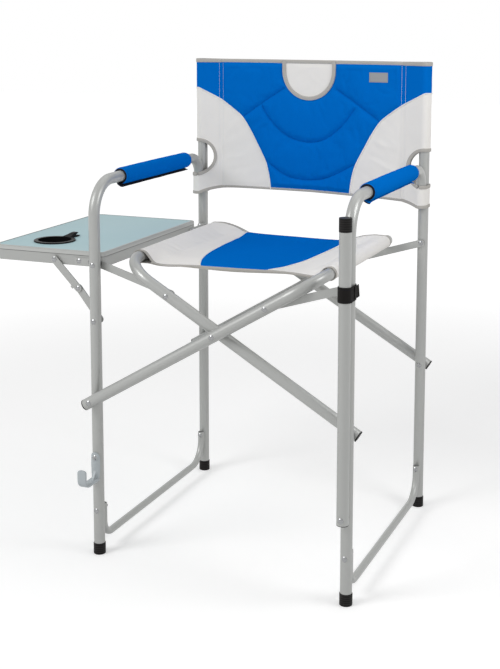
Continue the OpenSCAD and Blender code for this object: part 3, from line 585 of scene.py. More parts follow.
def ribbed_rubber(name, tint):
    """Moulded black plastic with fine level rings, as on the leg caps; the rings' crests carry a painted highlight,
    up to three times lighter than the black.
    """
    material, tree, shader = start_material(name)
    place = put(tree, "ShaderNodeTexCoord").outputs["Object"]
    grainy = use_effect(tree, "grain", {"Place": place, "Grain": 1500.0, "Marks": 30.0})
    height = put(tree, "ShaderNodeSeparateXYZ", {0: place}).outputs[2]
    rings = math_node(tree, "SINE", math_node(tree, "MULTIPLY", height, 2 * math.pi / 0.0046))
    ribs_and_highlight = math_node(tree, "SMOOTH_MAX", math_node(tree, "MULTIPLY", rings, 0.5), -0.2)
    both = math_node(tree, "MULTIPLY_ADD", grainy["Height"], 0.15, ribs_and_highlight)
    # Painted highlight: the colour goes from a little under the black between the rings to three times as light on
    # their crests
    feed(tree, shader, {"Base Color": between(tree, map_range(tree, ribs_and_highlight, -0.1, 0.5, 0.0, 1.0), tint, 0.8, 3.0),
                        "Roughness": 0.45, "Specular IOR Level": 0.15, "Normal": bumped(tree, both, 0.5, 0.0005)})
    return material


# Greys by height on the table's rim, multiplied into its colour: the side, a dark painted shade line under the lip,
# and a paler lip above it
RIM_GREYS_WITH_SHADE_LINE = [(0.650, 0.95), (0.6744, 0.95), (0.6750, 0.45), (0.6758, 0.45), (0.6764, 1.12), (0.687, 1.12)]


def make_finishes(colours):
    """All materials, built once."""
    if FINISHES:
        return
    EFFECTS.update(weave=plain_weave(), grain=drawn_grain())
    metal, black = colours.metal, colours.black
    FINISHES.update(
        blue=woven("Blue cloth", colours.blue, shine=0.0),
        grey=woven("Grey cloth", colours.grey, shades=(0.94, 1.06)),
        binding=woven("Edge tape", colours.binding, 1000.0, (0.84, 1.16), bump=0.4),
        piping=woven("Pale piping", shade_of(colours.grey, 1.05), 1600.0, (0.94, 1.06)),
        lining=woven("Dark lining", colours.lining, 900.0, (0.6, 1.4), bump=0.3),
        pale_thread=woven("Pale thread", (0.74, 0.75, 0.76), 3000.0, (0.9, 1.1)),
        blue_thread=woven("Blue thread", shade_of(colours.blue, 0.62), 3000.0, (0.8, 1.2)),
        label=woven("Plain woven tag", (0.32, 0.325, 0.335), 1900.0, (0.9, 1.1), bump=0.3),
        webbing=woven("Black webbing", (0.0095, 0.0086, 0.0082), 620.0, (0.75, 1.5), rough=0.72, bump=0.7, slub=0.2,
                      depth=0.0006),
        tube=hard("Satin tube", metal, 0.34, (0.33, 0.41), 1300.0, 11.0, bump=0.08, stretch=(1, 1, 0.35)),
        bars=hard("Satin flat bar", shade_of(metal, 0.97), 0.34, (0.38, 0.48), 1300.0, 16.0, bump=0.1,
                  stretch=(0.5, 1, 1)),
        rivets=hard("Rivet heads", (0.33, 0.335, 0.34), 0.95, (0.16, 0.24), 1700.0, 60.0, bump=0.06),
        black=ribbed_rubber("Ribbed black plastic", black),
        washer=hard("Black washers", black, 0.0, (0.42, 0.52), 1600.0, 40.0, contrast=0.15, shine=0.16),
        cast=hard("Cast grey", colours.cast, 0.1, (0.42, 0.52), 700.0, 24.0, bump=0.3, depth=0.0002),
        laminate=hard("Table laminate", colours.laminate, 0.0, (0.4, 0.48), 2600.0, 5.0, contrast=0.02, bump=0.06,
                      shine=0.25),
        table_edge=hard("Table rim", metal, 0.3, (0.38, 0.46), 1500.0, 9.0, bump=0.08, stretch=(0.4, 0.4, 1),
                        bands=RIM_GREYS_WITH_SHADE_LINE),
        cup=hard("Black cup", (0.008, 0.0076, 0.008), 0.0, (0.26, 0.34), 1300.0, 18.0, contrast=0.1, bump=0.03,
                 shine=0.03))


NODE_FINISH = (
    ("rivet", "rivets"), ("washers", "washer"), ("hook", "cast"), ("footrest_bar", "tube"), ("insert", "washer"),
    ("foot", "black"), ("plugs", "washer"), ("panel", "laminate"), ("rim", "table_edge"), ("cup", "cup"),
    ("link", "bars"), ("bracket", "bars"), ("brace_bar", "bars"), ("", "tube"),
)


def finish_for(node):
    """The finish of a carried-over node, from its name."""
    return next(finish for word, finish in NODE_FINISH if word in node)


# The back cover

COLOUR_LINE = [(106, 766), (108.5, 788), (112, 808), (120, 836), (134, 864), (146, 886), (159, 910), (172, 931),
               (187, 950), (206, 965), (226, 979.5), (242, 990)]
QUILT_LINES = [[(-131, 979), (-113, 950), (-87, 922), (-53, 899), (-8, 889), (32, 895), (62, 913), (92, 942),
                (117, 975)],
               [(-118, 838), (-70, 806), (-30, 795.5), (5, 795), (39, 800.6), (73, 815), (121, 841)],
               [(-69, 1022.5), (-126, 986), (-183, 946.5)], [(69, 1022.5), (126, 986), (183, 946.5)]]
# Each fold's two ends and its depth
FOLDS = [(150, 903, 228, 880, 1.2), (138, 872, 204, 846, -0.9), (166, 856, 230, 822, 1.3),
         (-236, 838, -172, 850, 0.8), (-160, 822, -232, 806, -0.8)]


def back_middle(x):
    """The depth of the back cloth's middle layer."""
    return LEG_DEPTH + LEFT_Y / 2 - LEFT_Y * x / (2 * HALF_SPAN) + 8 * bulge(x / 281)


def back_hem(x):
    """The height of the back's lower edge."""
    drop = 6.5 * min(1.0, max(0.0, x) / 230)
    return 766 - drop - (16 - drop) * min(1.0, abs(x) / 290) ** 10


def colour_line(side):
    """The line between blue and grey on the back panel, from the hem to the sleeve's seam."""
    return smooth_line([(side * x, z) for x, z in COLOUR_LINE], 5)


def patch_line(inset=0.0):
    """The grey patch at the top middle, from its left top end to its right one."""
    half = PATCH_HALF - inset
    return resample([(PATCH_X - half, BACK_TOP),
                     *arc(PATCH_X, PATCH_Z, half, 180, 360, 40, deep=PATCH_Z - PATCH_LOW - inset),
                     (PATCH_X + half, BACK_TOP)], 4)


def border_lines():
    return [colour_line(-1), colour_line(1), patch_line()]


def quilt_lines():
    """The sewn lines in the blue padding."""
    return [smooth_line(knots, 4) for knots in QUILT_LINES]


def hem_distance(x, z):
    """The back points' distances to the nearer of its top and its lower edge."""
    return np.minimum(BACK_TOP - z, z - np.array([back_hem(a) for a in x]))


def seam_distance(flat):
    """Each flat back point's distance to the nearest seam, border, edge or sewn tag."""
    near = distance_to(flat, [*quilt_lines(), *border_lines()])
    x, z = flat.T
    x0, x1, z0, z1 = TAG
    to_tag = np.hypot(np.maximum(np.maximum(x0 - x, x - x1), 0), np.maximum(np.maximum(z0 - z, z - z1), 0))
    return np.min([near, hem_distance(x, z) - 8, SEAM_X - 5 - np.abs(x), to_tag], axis=0)


def soft_folds(x, z):
    """The loose folds of the back's grey cloth, beside the blue."""
    total = 0.0
    for x0, z0, x1, z1, deep in FOLDS:
        run = math.hypot(x1 - x0, z1 - z0)
        along = ((x - x0) * (x1 - x0) + (z - z0) * (z1 - z0)) / run
        off = ((x - x0) * (z1 - z0) - (z - z0) * (x1 - x0)) / run
        total += deep * math.exp(-(off / 6.5) ** 2) * max(0.0, bulge(2 * along / run - 1))
    return total


def is_blue(flat):
    """Which flat back points are blue."""
    x, z = flat.T
    line = colour_line(1)
    above = z > np.interp(np.abs(x), line[:, 0], line[:, 1], left=-1e9)
    ratio = np.clip((PATCH_Z - z) / (PATCH_Z - PATCH_LOW), 0, 1)
    return above & ~(np.abs(x - PATCH_X) < PATCH_HALF * np.sqrt(1 - ratio ** 2))


def back_face(flat, puff):
    """Front and rear points of the back panel for flat (x, z) points."""
    to_quilt, to_border = distance_to(flat, quilt_lines()), distance_to(flat, border_lines())
    x, z = flat.T
    to_hem, to_seam, blue = hem_distance(x, z), SEAM_X - np.abs(x), is_blue(flat)
    rise = np.where(blue, puff * (1 - np.exp(-np.minimum(to_quilt, to_border) / 6.0)),
                    0.9 * (1 - np.exp(-to_border / 8)))
    rise = rise * ease((to_hem - 5) / 11) * ease((to_seam - 4) / 12)
    calm = ease(to_seam / 20) * ease((to_hem - 4) / 16)
    front, rear = [], []
    for i, (a, b) in enumerate(flat):
        wave = 0.5 * ripple(a, b, 46, 3.1) + 0.3 * ripple(a * 2.2, b, 30, 7.7)
        if blue[i]:
            # Short puckers that run away from the sewn lines
            wave += 0.55 * math.exp(-to_quilt[i] / 7.0) * ripple(a, b, 5.5, 1.3)
        else:
            # Soft folds that run down and out to the cloth's lower corners
            along, over = (abs(a) * 0.8 - b * 0.6) * 0.25, abs(a) * 0.6 + b * 0.8
            wave += soft_folds(a, b) + 0.8 * ripple(along, over, 15, 2.0 + (a > 0))
        y = back_middle(a)
        front.append((a, y - FRONT_SKIN - rise[i] - wave * calm[i], b))
        rear.append((a, y + REAR_SKIN + 0.35 * rise[i] - 0.5 * wave * calm[i], b))
    return front, rear


def blow_up(piece, free, growth, cap, frames=18):
    """Cloth simulation of a padded skin: slightly too large, under pressure, and held where free is 0. No point
    moves further than cap millimetres."""
    held = piece.vertex_groups.new(name="held")
    for i, share in enumerate(free):
        held.add([i], 1 - float(share), "REPLACE")
    cloth = piece.modifiers.new("padding", "CLOTH")
    how = cloth.settings
    for key, value in dict(
            vertex_group_mass="held", quality=6, mass=0.25, air_damping=4.0, tension_stiffness=20,
            compression_stiffness=20, shear_stiffness=8, bending_stiffness=0.6, shrink_min=-growth,
            use_pressure=True, uniform_pressure_force=4.0).items():
        setattr(how, key, value)
    how.effector_weights.gravity = 0
    cloth.collision_settings.use_collision = False
    cloth.point_cache.frame_start, cloth.point_cache.frame_end = 1, frames
    scene = bpy.context.scene
    for frame_number in range(1, frames + 1):
        scene.frame_set(frame_number)
    ready = piece.evaluated_get(bpy.context.evaluated_depsgraph_get())
    start, moved = (np.zeros(len(piece.data.vertices) * 3) for _ in range(2))
    piece.data.vertices.foreach_get("co", start)
    ready.data.vertices.foreach_get("co", moved)
    step = (moved - start).reshape(-1, 3)
    far = np.linalg.norm(step, axis=1)
    limit = cap * MM * np.tanh(far / (cap * MM)) / np.maximum(far, 1e-9)
    piece.modifiers.remove(cloth)
    piece.vertex_groups.remove(held)
    piece.data.vertices.foreach_set("co", (start.reshape(-1, 3) + step * limit[:, None]).ravel())
    piece.data.update()
    scene.frame_set(1)


def make_back_panel(sizes):
    """The quilted panel of the back."""
    outline = [(x, back_hem(x)) for x in np.linspace(-SEAM_X, SEAM_X, 97)]
    outline += [(SEAM_X, BACK_TOP), (-SEAM_X, BACK_TOP)]
    seams = [line[1:-1] for line in border_lines()] + quilt_lines()
    flat, faces, middles = cut_cloth(outline, [], seams, CLOTH_CELL)
    shape = close_sheet(*back_face(flat, sizes.quilt_puff / MM), faces)
    panel = outward(make_mesh("back_cover_panel", shape, ["blue", "grey"], sheet_tints(is_blue(middles), shape[1]),
                              np.vstack([flat, flat])))
    free = ease((seam_distance(flat) - 1) / 9) * is_blue(flat)
    blow_up(panel, np.concatenate([free, np.zeros(len(flat))]), growth=0.012, cap=2.2)
    hand_over(panel, fold_with_back, ["back_panel"])


def on_back(line, lift):
    """A line of flat (x, z) points laid on the back's front face, stood out by lift."""
    return [(x, back_middle(x) - FRONT_SKIN - lift, z) for x, z in line]


def make_back_trim(sizes):
    """Edge tapes, piping, seams and the plain tag of the back panel."""
    width, thick = sizes.binding_width / MM, sizes.binding_thickness / MM
    pitch, thread = sizes.stitch / MM, sizes.thread / MM
    xs = np.linspace(-SEAM_X, SEAM_X, 81)
    ring = on_back(patch_line(5.0), 1.9)
    add_piece("back_edge_tape", joined([
        tape([(x, back_middle(x), back_hem(x) + 2) for x in xs], UP, width * 0.72, thick),
        tape([(x, back_middle(x), BACK_TOP - width * TAPE_IN) for x in xs], UP, width, thick + 0.8),
        tape(ring, beside(ring), width, 2.6)]), ["binding"], fold_with_back, "grey_cloth")
    add_piece("back_piping", joined([piping(on_back(colour_line(s), 0.9), ALONG_Y, sizes) for s in (-1, 1)]),
              ["piping"], fold_with_back, "grey_cloth")
    rows = []
    for x in (5 - SEAM_X, SEAM_X - 5):
        zs = np.linspace(back_hem(x) + 7, BACK_TOP - 8, 90)
        rows.append(stitches([(x, back_middle(x) - 1.8, z) for z in zs], OUT, pitch, thread * BOLD))
    lines = [[(x, back_middle(x) - thick / 2, back_hem(x) + 4.2) for x in xs[1:-1]],
             [(x, back_middle(x) - thick / 2 - 0.4, BACK_TOP - width * ROW_IN) for x in xs[1:-1]],
             *(on_back(patch_line(inset)[1:-1], 2.9) for inset in (1.4, 8.6))]
    rows += [stitches(line, OUT, pitch, thread * FINE) for line in lines]
    add_piece("back_pale_stitches", joined(rows), ["pale_thread"], fold_with_back)
    dark = [stitches(on_back(line, 0.5), OUT, pitch * 0.9, thread) for line in quilt_lines()]
    add_piece("back_quilt_stitches", joined(dark), ["blue_thread"], fold_with_back)
    make_tag(sizes)


def make_tag(sizes):
    """The plain woven tag near the right top corner."""
    x0, x1, z0, z1 = TAG
    stand = FRONT_SKIN + sizes.quilt_puff / MM * 0.97
    cells, thick, margin = 14, 1.4, 1.6
    front, flat = [], []
    for j in range(cells + 1):
        for i in range(cells + 1):
            u, v = i / cells, j / cells
            x, z = x0 + (x1 - x0) * u, z0 + (z1 - z0) * v
            edge = min(u, 1 - u, v * 0.6, (1 - v) * 0.6) * cells
            front.append((x, back_middle(x) - stand - 0.5 * min(1.0, edge) - 0.35, z))
            flat.append((x, z))
    shape = close_sheet(front, [(x, y + thick, z) for x, y, z in front], grid_faces(cells, cells + 1, ring=False))
    add_piece("back_tag", shape, ["label"], fold_with_back, "grey_cloth", flat=flat * 2)
    x0, x1, z0, z1 = x0 + margin, x1 - margin, z0 + margin, z1 - margin
    line = resample([(x0, z0), (x1, z0), (x1, z1), (x0, z1), (x0, z0)], 2)
    row = stitches([(x, back_middle(x) - stand - 0.9, z) for x, z in line], OUT, 2.6, 0.5)
    add_piece("back_tag_stitches", row, ["label"], fold_with_back)


class PostWrap:
    """The cloth loop round one post: from the seam in front, round the post and back to the seam behind.
    Below the arm it also goes round the arm tube's end in front of the post."""

    width = 160.0  # about the loop's length
    arm_ahead = 25.3  # how far the arm tube's end lies in front of the post

    def __init__(self, side):
        self.side = side
        self.y = LEG_DEPTH + (LEFT_Y if side < 0 else 0.0)
        self.seam_y = back_middle(side * SEAM_X)

    def tangent(self, start_y, centre_y, turn):
        """The run from the seam to the circle round a tube, and the angle where it touches."""
        dx, dy = SEAM_X - HALF_SPAN, start_y - centre_y
        far = math.hypot(dx, dy)
        angle = math.atan2(dy, dx) % (2 * math.pi) + turn * math.acos(LOOP_R / far)
        return math.sqrt(far ** 2 - LOOP_R ** 2), angle

    def lines(self, z):
        """The section's lengths and touching angles at a height."""
        grow = self.arm_ahead * float(ease((CUT_HIGH - z) / (CUT_HIGH - CUT_LOW)))
        front, first = self.tangent(self.seam_y - FRONT_SKIN, self.y - grow, 1)
        rear, last = self.tangent(self.seam_y + REAR_SKIN, self.y, -1)
        return grow, first, last, [front, LOOP_R * (2 * math.pi - first), grow, LOOP_R * last, rear]

    def point(self, f, z, lift=0.0):
        """The point a share f of the way round at a height, stood out by lift."""
        grow, first, last, parts = self.lines(z)
        at, part = f * sum(parts), 0
        while part < 4 and at > parts[part]:
            at, part = at - parts[part], part + 1
        centre = self.y - grow if part < 3 else self.y
        if part == 2:
            x, y = HALF_SPAN + LOOP_R + lift, centre + at
        elif part in (1, 3):
            a = at / LOOP_R + (first if part == 1 else 0)
            x, y = HALF_SPAN + (LOOP_R + lift) * math.cos(a), centre + (LOOP_R + lift) * math.sin(a)
        else:
            angle, seam, face = ((first, self.seam_y - FRONT_SKIN, -1) if part == 0
                                 else (last, self.seam_y + REAR_SKIN, 1))
            t = at / parts[0] if part == 0 else 1 - at / parts[4]
            x = SEAM_X + (HALF_SPAN + LOOP_R * math.cos(angle) - SEAM_X) * t
            y = seam * (1 - t) + (centre + LOOP_R * math.sin(angle)) * t
            y += face * (lift - 1.2 * math.sin(math.pi * t))
        return self.side * x, y, z

    def share(self, x, z, rear=False):
        """How far round a point of the front or rear half lies, from its distance to the middle."""
        _, first, last, parts = self.lines(z)
        touch = HALF_SPAN + LOOP_R * math.cos(last if rear else first)
        if abs(x) <= touch:
            at = (abs(x) - SEAM_X) / (touch - SEAM_X) * parts[4 if rear else 0]
        else:
            bend = math.acos((abs(x) - HALF_SPAN) / LOOP_R)
            at = parts[4] + LOOP_R * (last - bend) if rear else parts[0] + LOOP_R * (2 * math.pi - bend - first)
        return (sum(parts) - at if rear else at) / sum(parts)

    def hem(self, f):
        return back_hem(self.point(f, 760)[0])

    def cut_line(self):
        """The edge of the arm's cut-out in (share, height): up its front half and down its rear half."""
        half = arc(CUT_X, CUT_Z, CUT_R, 264, 96, 30)
        return [(self.share(x, z), z) for x, z in half], [(self.share(x, z, True), z) for x, z in half[::-1]]

    def colour_edge(self):
        """The line between blue and grey round the post."""
        reach = [abs(self.point(f, 1010)[0]) - SEAM_X for f in np.linspace(0, 1, 60)]
        return [(f, 990 + 29 * min(1.0, x / 57)) for f, x in zip(np.linspace(0, 1, 60), reach)]


def make_back_sleeve(side, sizes):
    """The cloth sleeve round one back post."""
    wrap, word = PostWrap(side), side_word(side)
    front, rear = wrap.cut_line()
    scale = np.array([wrap.width, 1.0])
    shares = np.linspace(0, 1, 60)
    outline = np.array([(f, wrap.hem(f)) for f in shares] + [(f, BACK_TOP) for f in shares[::-1]]) * scale
    line = np.array(wrap.colour_edge()) * scale
    flat, faces, middles = cut_cloth(outline, [np.array(front + rear) * scale], [line[1:-1]], CLOTH_CELL)
    outer, inner = [], []
    for f, z in flat / scale:
        f = min(max(f, 0.0), 1.0)
        to_cut = min(abs(z - CUT_LOW), abs(z - CUT_HIGH)) if 770 < z < 905 else 30
        wave = 0.5 * ripple(f * wrap.width, z, 24, 5.0 + side) * min(1, to_cut / 12)
        # Level with the panel at the seam
        lift = float(ease(min(f, 1 - f) * wrap.width / 20)) * (0.3 + max(wave, -0.15))
        outer.append(wrap.point(f, z, lift))
        inner.append(wrap.point(f, z, lift - 1.2))
    shape = close_sheet(outer, inner, [f[::-1] for f in faces] if side > 0 else faces)
    blue = [z > np.interp(f, line[:, 0], line[:, 1]) for f, z in middles]
    sleeve = add_piece(f"back_cover_{word}_sleeve", shape, ["blue", "grey"], f"{word}_frame", "grey_cloth",
                       [f"{word}_back_sleeve"], tints=sheet_tints(blue, shape[1]), flat=np.vstack([flat, flat]))
    # The flat cloth's size and its area with a seam allowance, worked out but not used
    wide, tall, allowance = wrap.width + 24, BACK_TOP - 748, 1.14
    cut = sum(abs(double_area(flat, f)) / 2 for f in faces) * allowance
    make_sleeve_trim(side, sizes, wrap, front, rear)


def make_sleeve_trim(side, sizes, wrap, front, rear):
    """Edge tapes, top, piping and seam of one back sleeve."""
    name, body = f"back_{side_word(side)}", f"{side_word(side)}_frame"
    width, thick = sizes.binding_width / MM, 2.6
    shares = np.linspace(0, 1, 70)
    ring = front[1:] + [(f, CUT_HIGH) for f in np.linspace(front[-1][0], rear[0][0], 24)[1:-1]]
    ring += rear + [(f, CUT_LOW) for f in np.linspace(rear[-1][0], front[0][0], 30)[1:-1]]
    ring = [wrap.point(f, z, 0.3) for f, z in ring]
    ring = resample(np.vstack([ring, ring[:1]]), 4)[:-1]
    middle = np.array([side * CUT_X, 0, CUT_Z])
    across = [UP if abs(p[0]) > HALF_SPAN - 1 else (p - middle) * (1, 0, 1) for p in ring]
    add_piece(f"{name}_edge_tape", joined([
        tape([wrap.point(f, wrap.hem(f) + 2.2, 0.2) for f in shares], UP, width * 0.8, thick),
        tape([wrap.point(f, BACK_TOP - width * TAPE_IN, 0.2) for f in shares], UP, width, thick + 0.4),
        tape(ring, across, width - 1, thick + 0.3, closed=True)]), ["binding"], body, "grey_cloth")
    lid = [wrap.point(f, BACK_TOP - 0.4) for f in shares]
    lid += [tuple(np.mean(lid, axis=0) + (0, 0, 1.2))] + [(x, y, z - 1.2) for x, y, z in lid]
    n = len(shares)
    pairs = [(i, (i + 1) % n) for i in range(n)]
    faces = [(a, b, n) for a, b in pairs] + [(b, a, n + 1 + a, n + 1 + b) for a, b in pairs]
    faces.append(tuple(range(n + 1, 2 * n + 1))[::-1])
    add_piece(f"{name}_sleeve_top", (lid, faces), ["blue"], body, "blue_pad")
    line = [wrap.point(f, z, 0.6) for f, z in wrap.colour_edge()]
    add_piece(f"{name}_piping", piping(line, ALONG_Y, sizes), ["piping"], body, "grey_cloth")
    zs = np.linspace(back_hem(side * SEAM_X) + 7, BACK_TOP - 8, 90)
    seam = stitches([wrap.point(wrap.share(SEAM_X + 5, z), z, 0.25) for z in zs], OUT, sizes.stitch / MM,
                    sizes.thread / MM * BOLD)
    add_piece(f"{name}_stitches", seam, ["pale_thread"], body)


# The seat cover

SEAT_DEEP = 400.0
SEAT_THICK = 3
BLUE_RUN = 14  # faces of a section from its middle to the blue's edge
# The cloth's height from the middle to the rail: at the front, half way and at the rear
SEAT_PROFILES = [smooth_line(knots, 1.5) for knots in (
    [(0, 662.5), (80, 662.8), (130, 661.6), (165, 660), (190, 660.5), (200, 667), (207, 675.5), (215, 683.5),
     (226, 686.4)],
    [(0, 663), (90, 663.5), (150, 664.8), (172, 666), (186, 671), (205, 680.2), (218, 685.2), (226, 686.4)],
    [(0, 668.5), (100, 668), (135, 669.6), (150, 675.4), (171, 682.5), (200, 686.4), (226, 686.4)])]


def seat_front(x):
    """The seat's front edge."""
    return 99 - 14 * x / RAIL_X + 5 * bulge(x / RAIL_X) - 9 * max(0.0, -x / RAIL_X) ** 6


def seat_rear(x):
    """The seat's rear edge."""
    return 504 - 14 * x / RAIL_X - 15 * max(0.0, bulge(x / 200))


def seat_y(x, v):
    """The depth of a place that is a share v of the way from front to rear, as in all that follows."""
    return seat_front(x) + v * (seat_rear(x) - seat_front(x))


def blue_half(v):
    """Half the blue panel's width."""
    return 133 - 53 * math.exp(-v * SEAT_DEEP / 105)


def seat_ends(v):
    """How much of the seat's front and rear shape a place has."""
    return 1 - float(ease(v * SEAT_DEEP / 70)), 1 - float(ease((1 - v) * SEAT_DEEP / 60))


def seat_seam(v):
    """Where the sleeve's two layers are sewn together, from the middle."""
    front, rear = seat_ends(v)
    return 176 + 14 * front - 26 * rear


def seat_height(x, v):
    """The seat cloth's top: it sags between the rails, climbs onto them, and sits lower at the front."""
    front, rear = seat_ends(v)
    shares = (front, 1 - front - rear, rear)
    return float(sum(s * np.interp(abs(x), p[:, 0], p[:, 1]) for s, p in zip(shares, SEAT_PROFILES)))


def seat_under(x, v):
    """The underside: the padded panel, and the sleeve's lower layer from its seam to the rail's bottom."""
    a, seam, bottom = abs(x), seat_seam(v), RAIL_Z - LOOP_R
    if a <= seam:
        return seat_height(a, v) - SEAT_THICK - 4.5 * max(0.0, bulge(a / 125))
    return bottom + (seat_height(seam, v) - SEAT_THICK - bottom) * float(ease((RAIL_X - a) / (RAIL_X - seam)))


def seat_ring(v, puff):
    """One closed section of the seat's outer skin as (x, z) points, built from its right half."""
    half, seam = blue_half(v), seat_seam(v)
    right = []
    for x in np.linspace(0, half, BLUE_RUN + 1):
        near = min(half - x, v * SEAT_DEEP + 1, (1 - v) * SEAT_DEEP + 1)
        right.append((x, seat_height(x, v) + puff * (1 - math.exp(-near / 9))))
    slope = [*np.linspace(half, 180, 9)[1:], *np.linspace(180, RAIL_X, 16)[1:]]
    under = [*np.linspace(RAIL_X, seam, 11)[1:], *np.linspace(seam, 0, 13)[1:]]
    right += [(x, seat_height(x, v)) for x in slope] + arc(RAIL_X, RAIL_Z, LOOP_R, 90, -90, 16)[1:]
    right += [(x, seat_under(x, v)) for x in under]
    return right + [(-x, z) for x, z in right[1:-1]][::-1]


def sleeve_hollow(side, v):
    """The section of the space inside one seat sleeve, round the rail."""
    wall, start = 1.15, seat_seam(v) + 7
    xs = np.linspace(start, RAIL_X, 9)
    loop = [(x, max(seat_height(x, v) - wall, seat_under(x, v) + wall + 0.05)) for x in xs]
    loop += arc(RAIL_X, RAIL_Z, LOOP_R - wall, 90, -90, 16)[1:]
    loop += [(x, seat_under(x, v) + wall) for x in xs[::-1][1:-1]]
    return [(side * x, z) for x, z in loop]


def seat_wave(x, y, v):
    """Small uneven places in the seat cloth, none on the rails, and at its front hem only a lower left side."""
    ends = min(1.0, v * 9, (1 - v) * 9)
    slope = float(ease((abs(x) - 135) / 30) * (1 - ease((abs(x) - 206) / 14)))
    lean = 5 * seat_ends(v)[0] * x / 170 * max(0.0, 1 - (x / 205) ** 8)
    return lean + ends * (0.5 * ripple(x, y, 50, 2.0) + 1.7 * slope * ripple(x * 0.35, y, 14, 4.0))


def make_seat_cover(sizes):
    """The seat's cloth: a padded blue middle, pale sides, and a sleeve round each rail."""
    puff, rows = sizes.seat_puff / MM, 74
    points, flat, skins = [], [], []
    for section in (lambda v: seat_ring(v, puff), lambda v: sleeve_hollow(-1, v), lambda v: sleeve_hollow(1, v)):
        base = len(points)
        for v in np.arange(rows + 1) / rows:
            loop = section(v)
            runs = [z for _, z in loop] if base else round_lengths(loop)
            for (x, z), run in zip(loop, runs):
                y = seat_y(x, v)
                points.append((x, y, z + seat_wave(x, y, v)))
                flat.append((run, y))
        skins.append((base, len(loop)))
    count = skins[0][1]
    faces = [(a, d, c, b) for a, b, c, d in grid_faces(rows, count)]
    tints = [0 if min(k % count, count - 1 - k % count) < BLUE_RUN else 1 for k in range(len(faces))]
    for base, n in skins[1:]:
        faces += grid_faces(rows, n, base)
    for r in (0, rows):
        faces += cap_faces(points, [range(base + r * n, base + (r + 1) * n) for base, n in skins])
    tints += [1] * (len(faces) - len(tints))
    cover = add_piece("seat_cover", (points, faces), ["blue", "grey"], bend_with_seat, "grey_cloth",
                      ["seat_left_sleeve", "seat_right_sleeve", "seat_panel"], tints=tints, flat=flat)


def seat_line(x, v, lift=0.0):
    """A point on the seat's top."""
    y = seat_y(x, v)
    return x, y, seat_height(x, v) + lift + seat_wave(x, y, v)


def make_seat_trim(sizes):
    """Edge tapes, piping and stitches of the seat."""
    width, pitch, thin = sizes.binding_width / MM, sizes.stitch / MM, sizes.thread / MM * FINE
    parts, cords, rows = [], [], []
    for v, edge, inward in ((0.0, seat_front, width), (1.0, seat_rear, -width)):
        reach = seat_seam(v) - 6
        line, deep, top = [], [], []
        for x in np.linspace(-reach, reach, 70):
            lean = seat_wave(x, edge(x), v)
            high, low = seat_height(x, v) + lean, seat_under(x, v) + lean
            line.append((x, edge(x) + inward * TAPE_IN, (high + low) / 2))
            deep.append(high - low + 1.3)
            top.append((x, edge(x) + inward * ROW_IN, high + 0.7))
        parts.append(tape(line, ALONG_Y, width, deep))
        rows.append(stitches(top, UP, pitch, thin))
        # Round the sleeves' mouths
        loop = [(x, seat_height(x, v) - 0.5) for x in np.linspace(reach, RAIL_X, 16)]
        loop += arc(RAIL_X, RAIL_Z, LOOP_R - 0.5, 90, -90, 20)[1:]
        loop += [(x, seat_under(x, v) + 0.5) for x in np.linspace(RAIL_X, reach, 14)[1:]]
        for side in (-1, 1):
            mouth = [(side * x, edge(side * x) + inward * TAPE_IN, z + seat_wave(side * x, 0, v)) for x, z in loop]
            parts.append(tape(mouth, ALONG_Y, width, 2.4))
    for side in (-1, 1):
        line = [seat_line(side * blue_half(v), v, 0.5) for v in np.linspace(0.012, 0.988, 90)]
        cords.append(piping(line, UP, sizes))
        for off in (0, 6):
            line = [seat_line(side * (seat_seam(v) + off), v, 0.25) for v in np.linspace(0.03, 0.97, 80)]
            rows.append(stitches(line, UP, pitch, thin))
    add_piece("seat_edge_tape", joined(parts), ["binding"], bend_with_seat, "grey_cloth")
    add_piece("seat_piping", joined(cords), ["piping"], bend_with_seat, "grey_cloth")
    add_piece("seat_stitches", joined(rows), ["pale_thread"], bend_with_seat)


# Arm pads


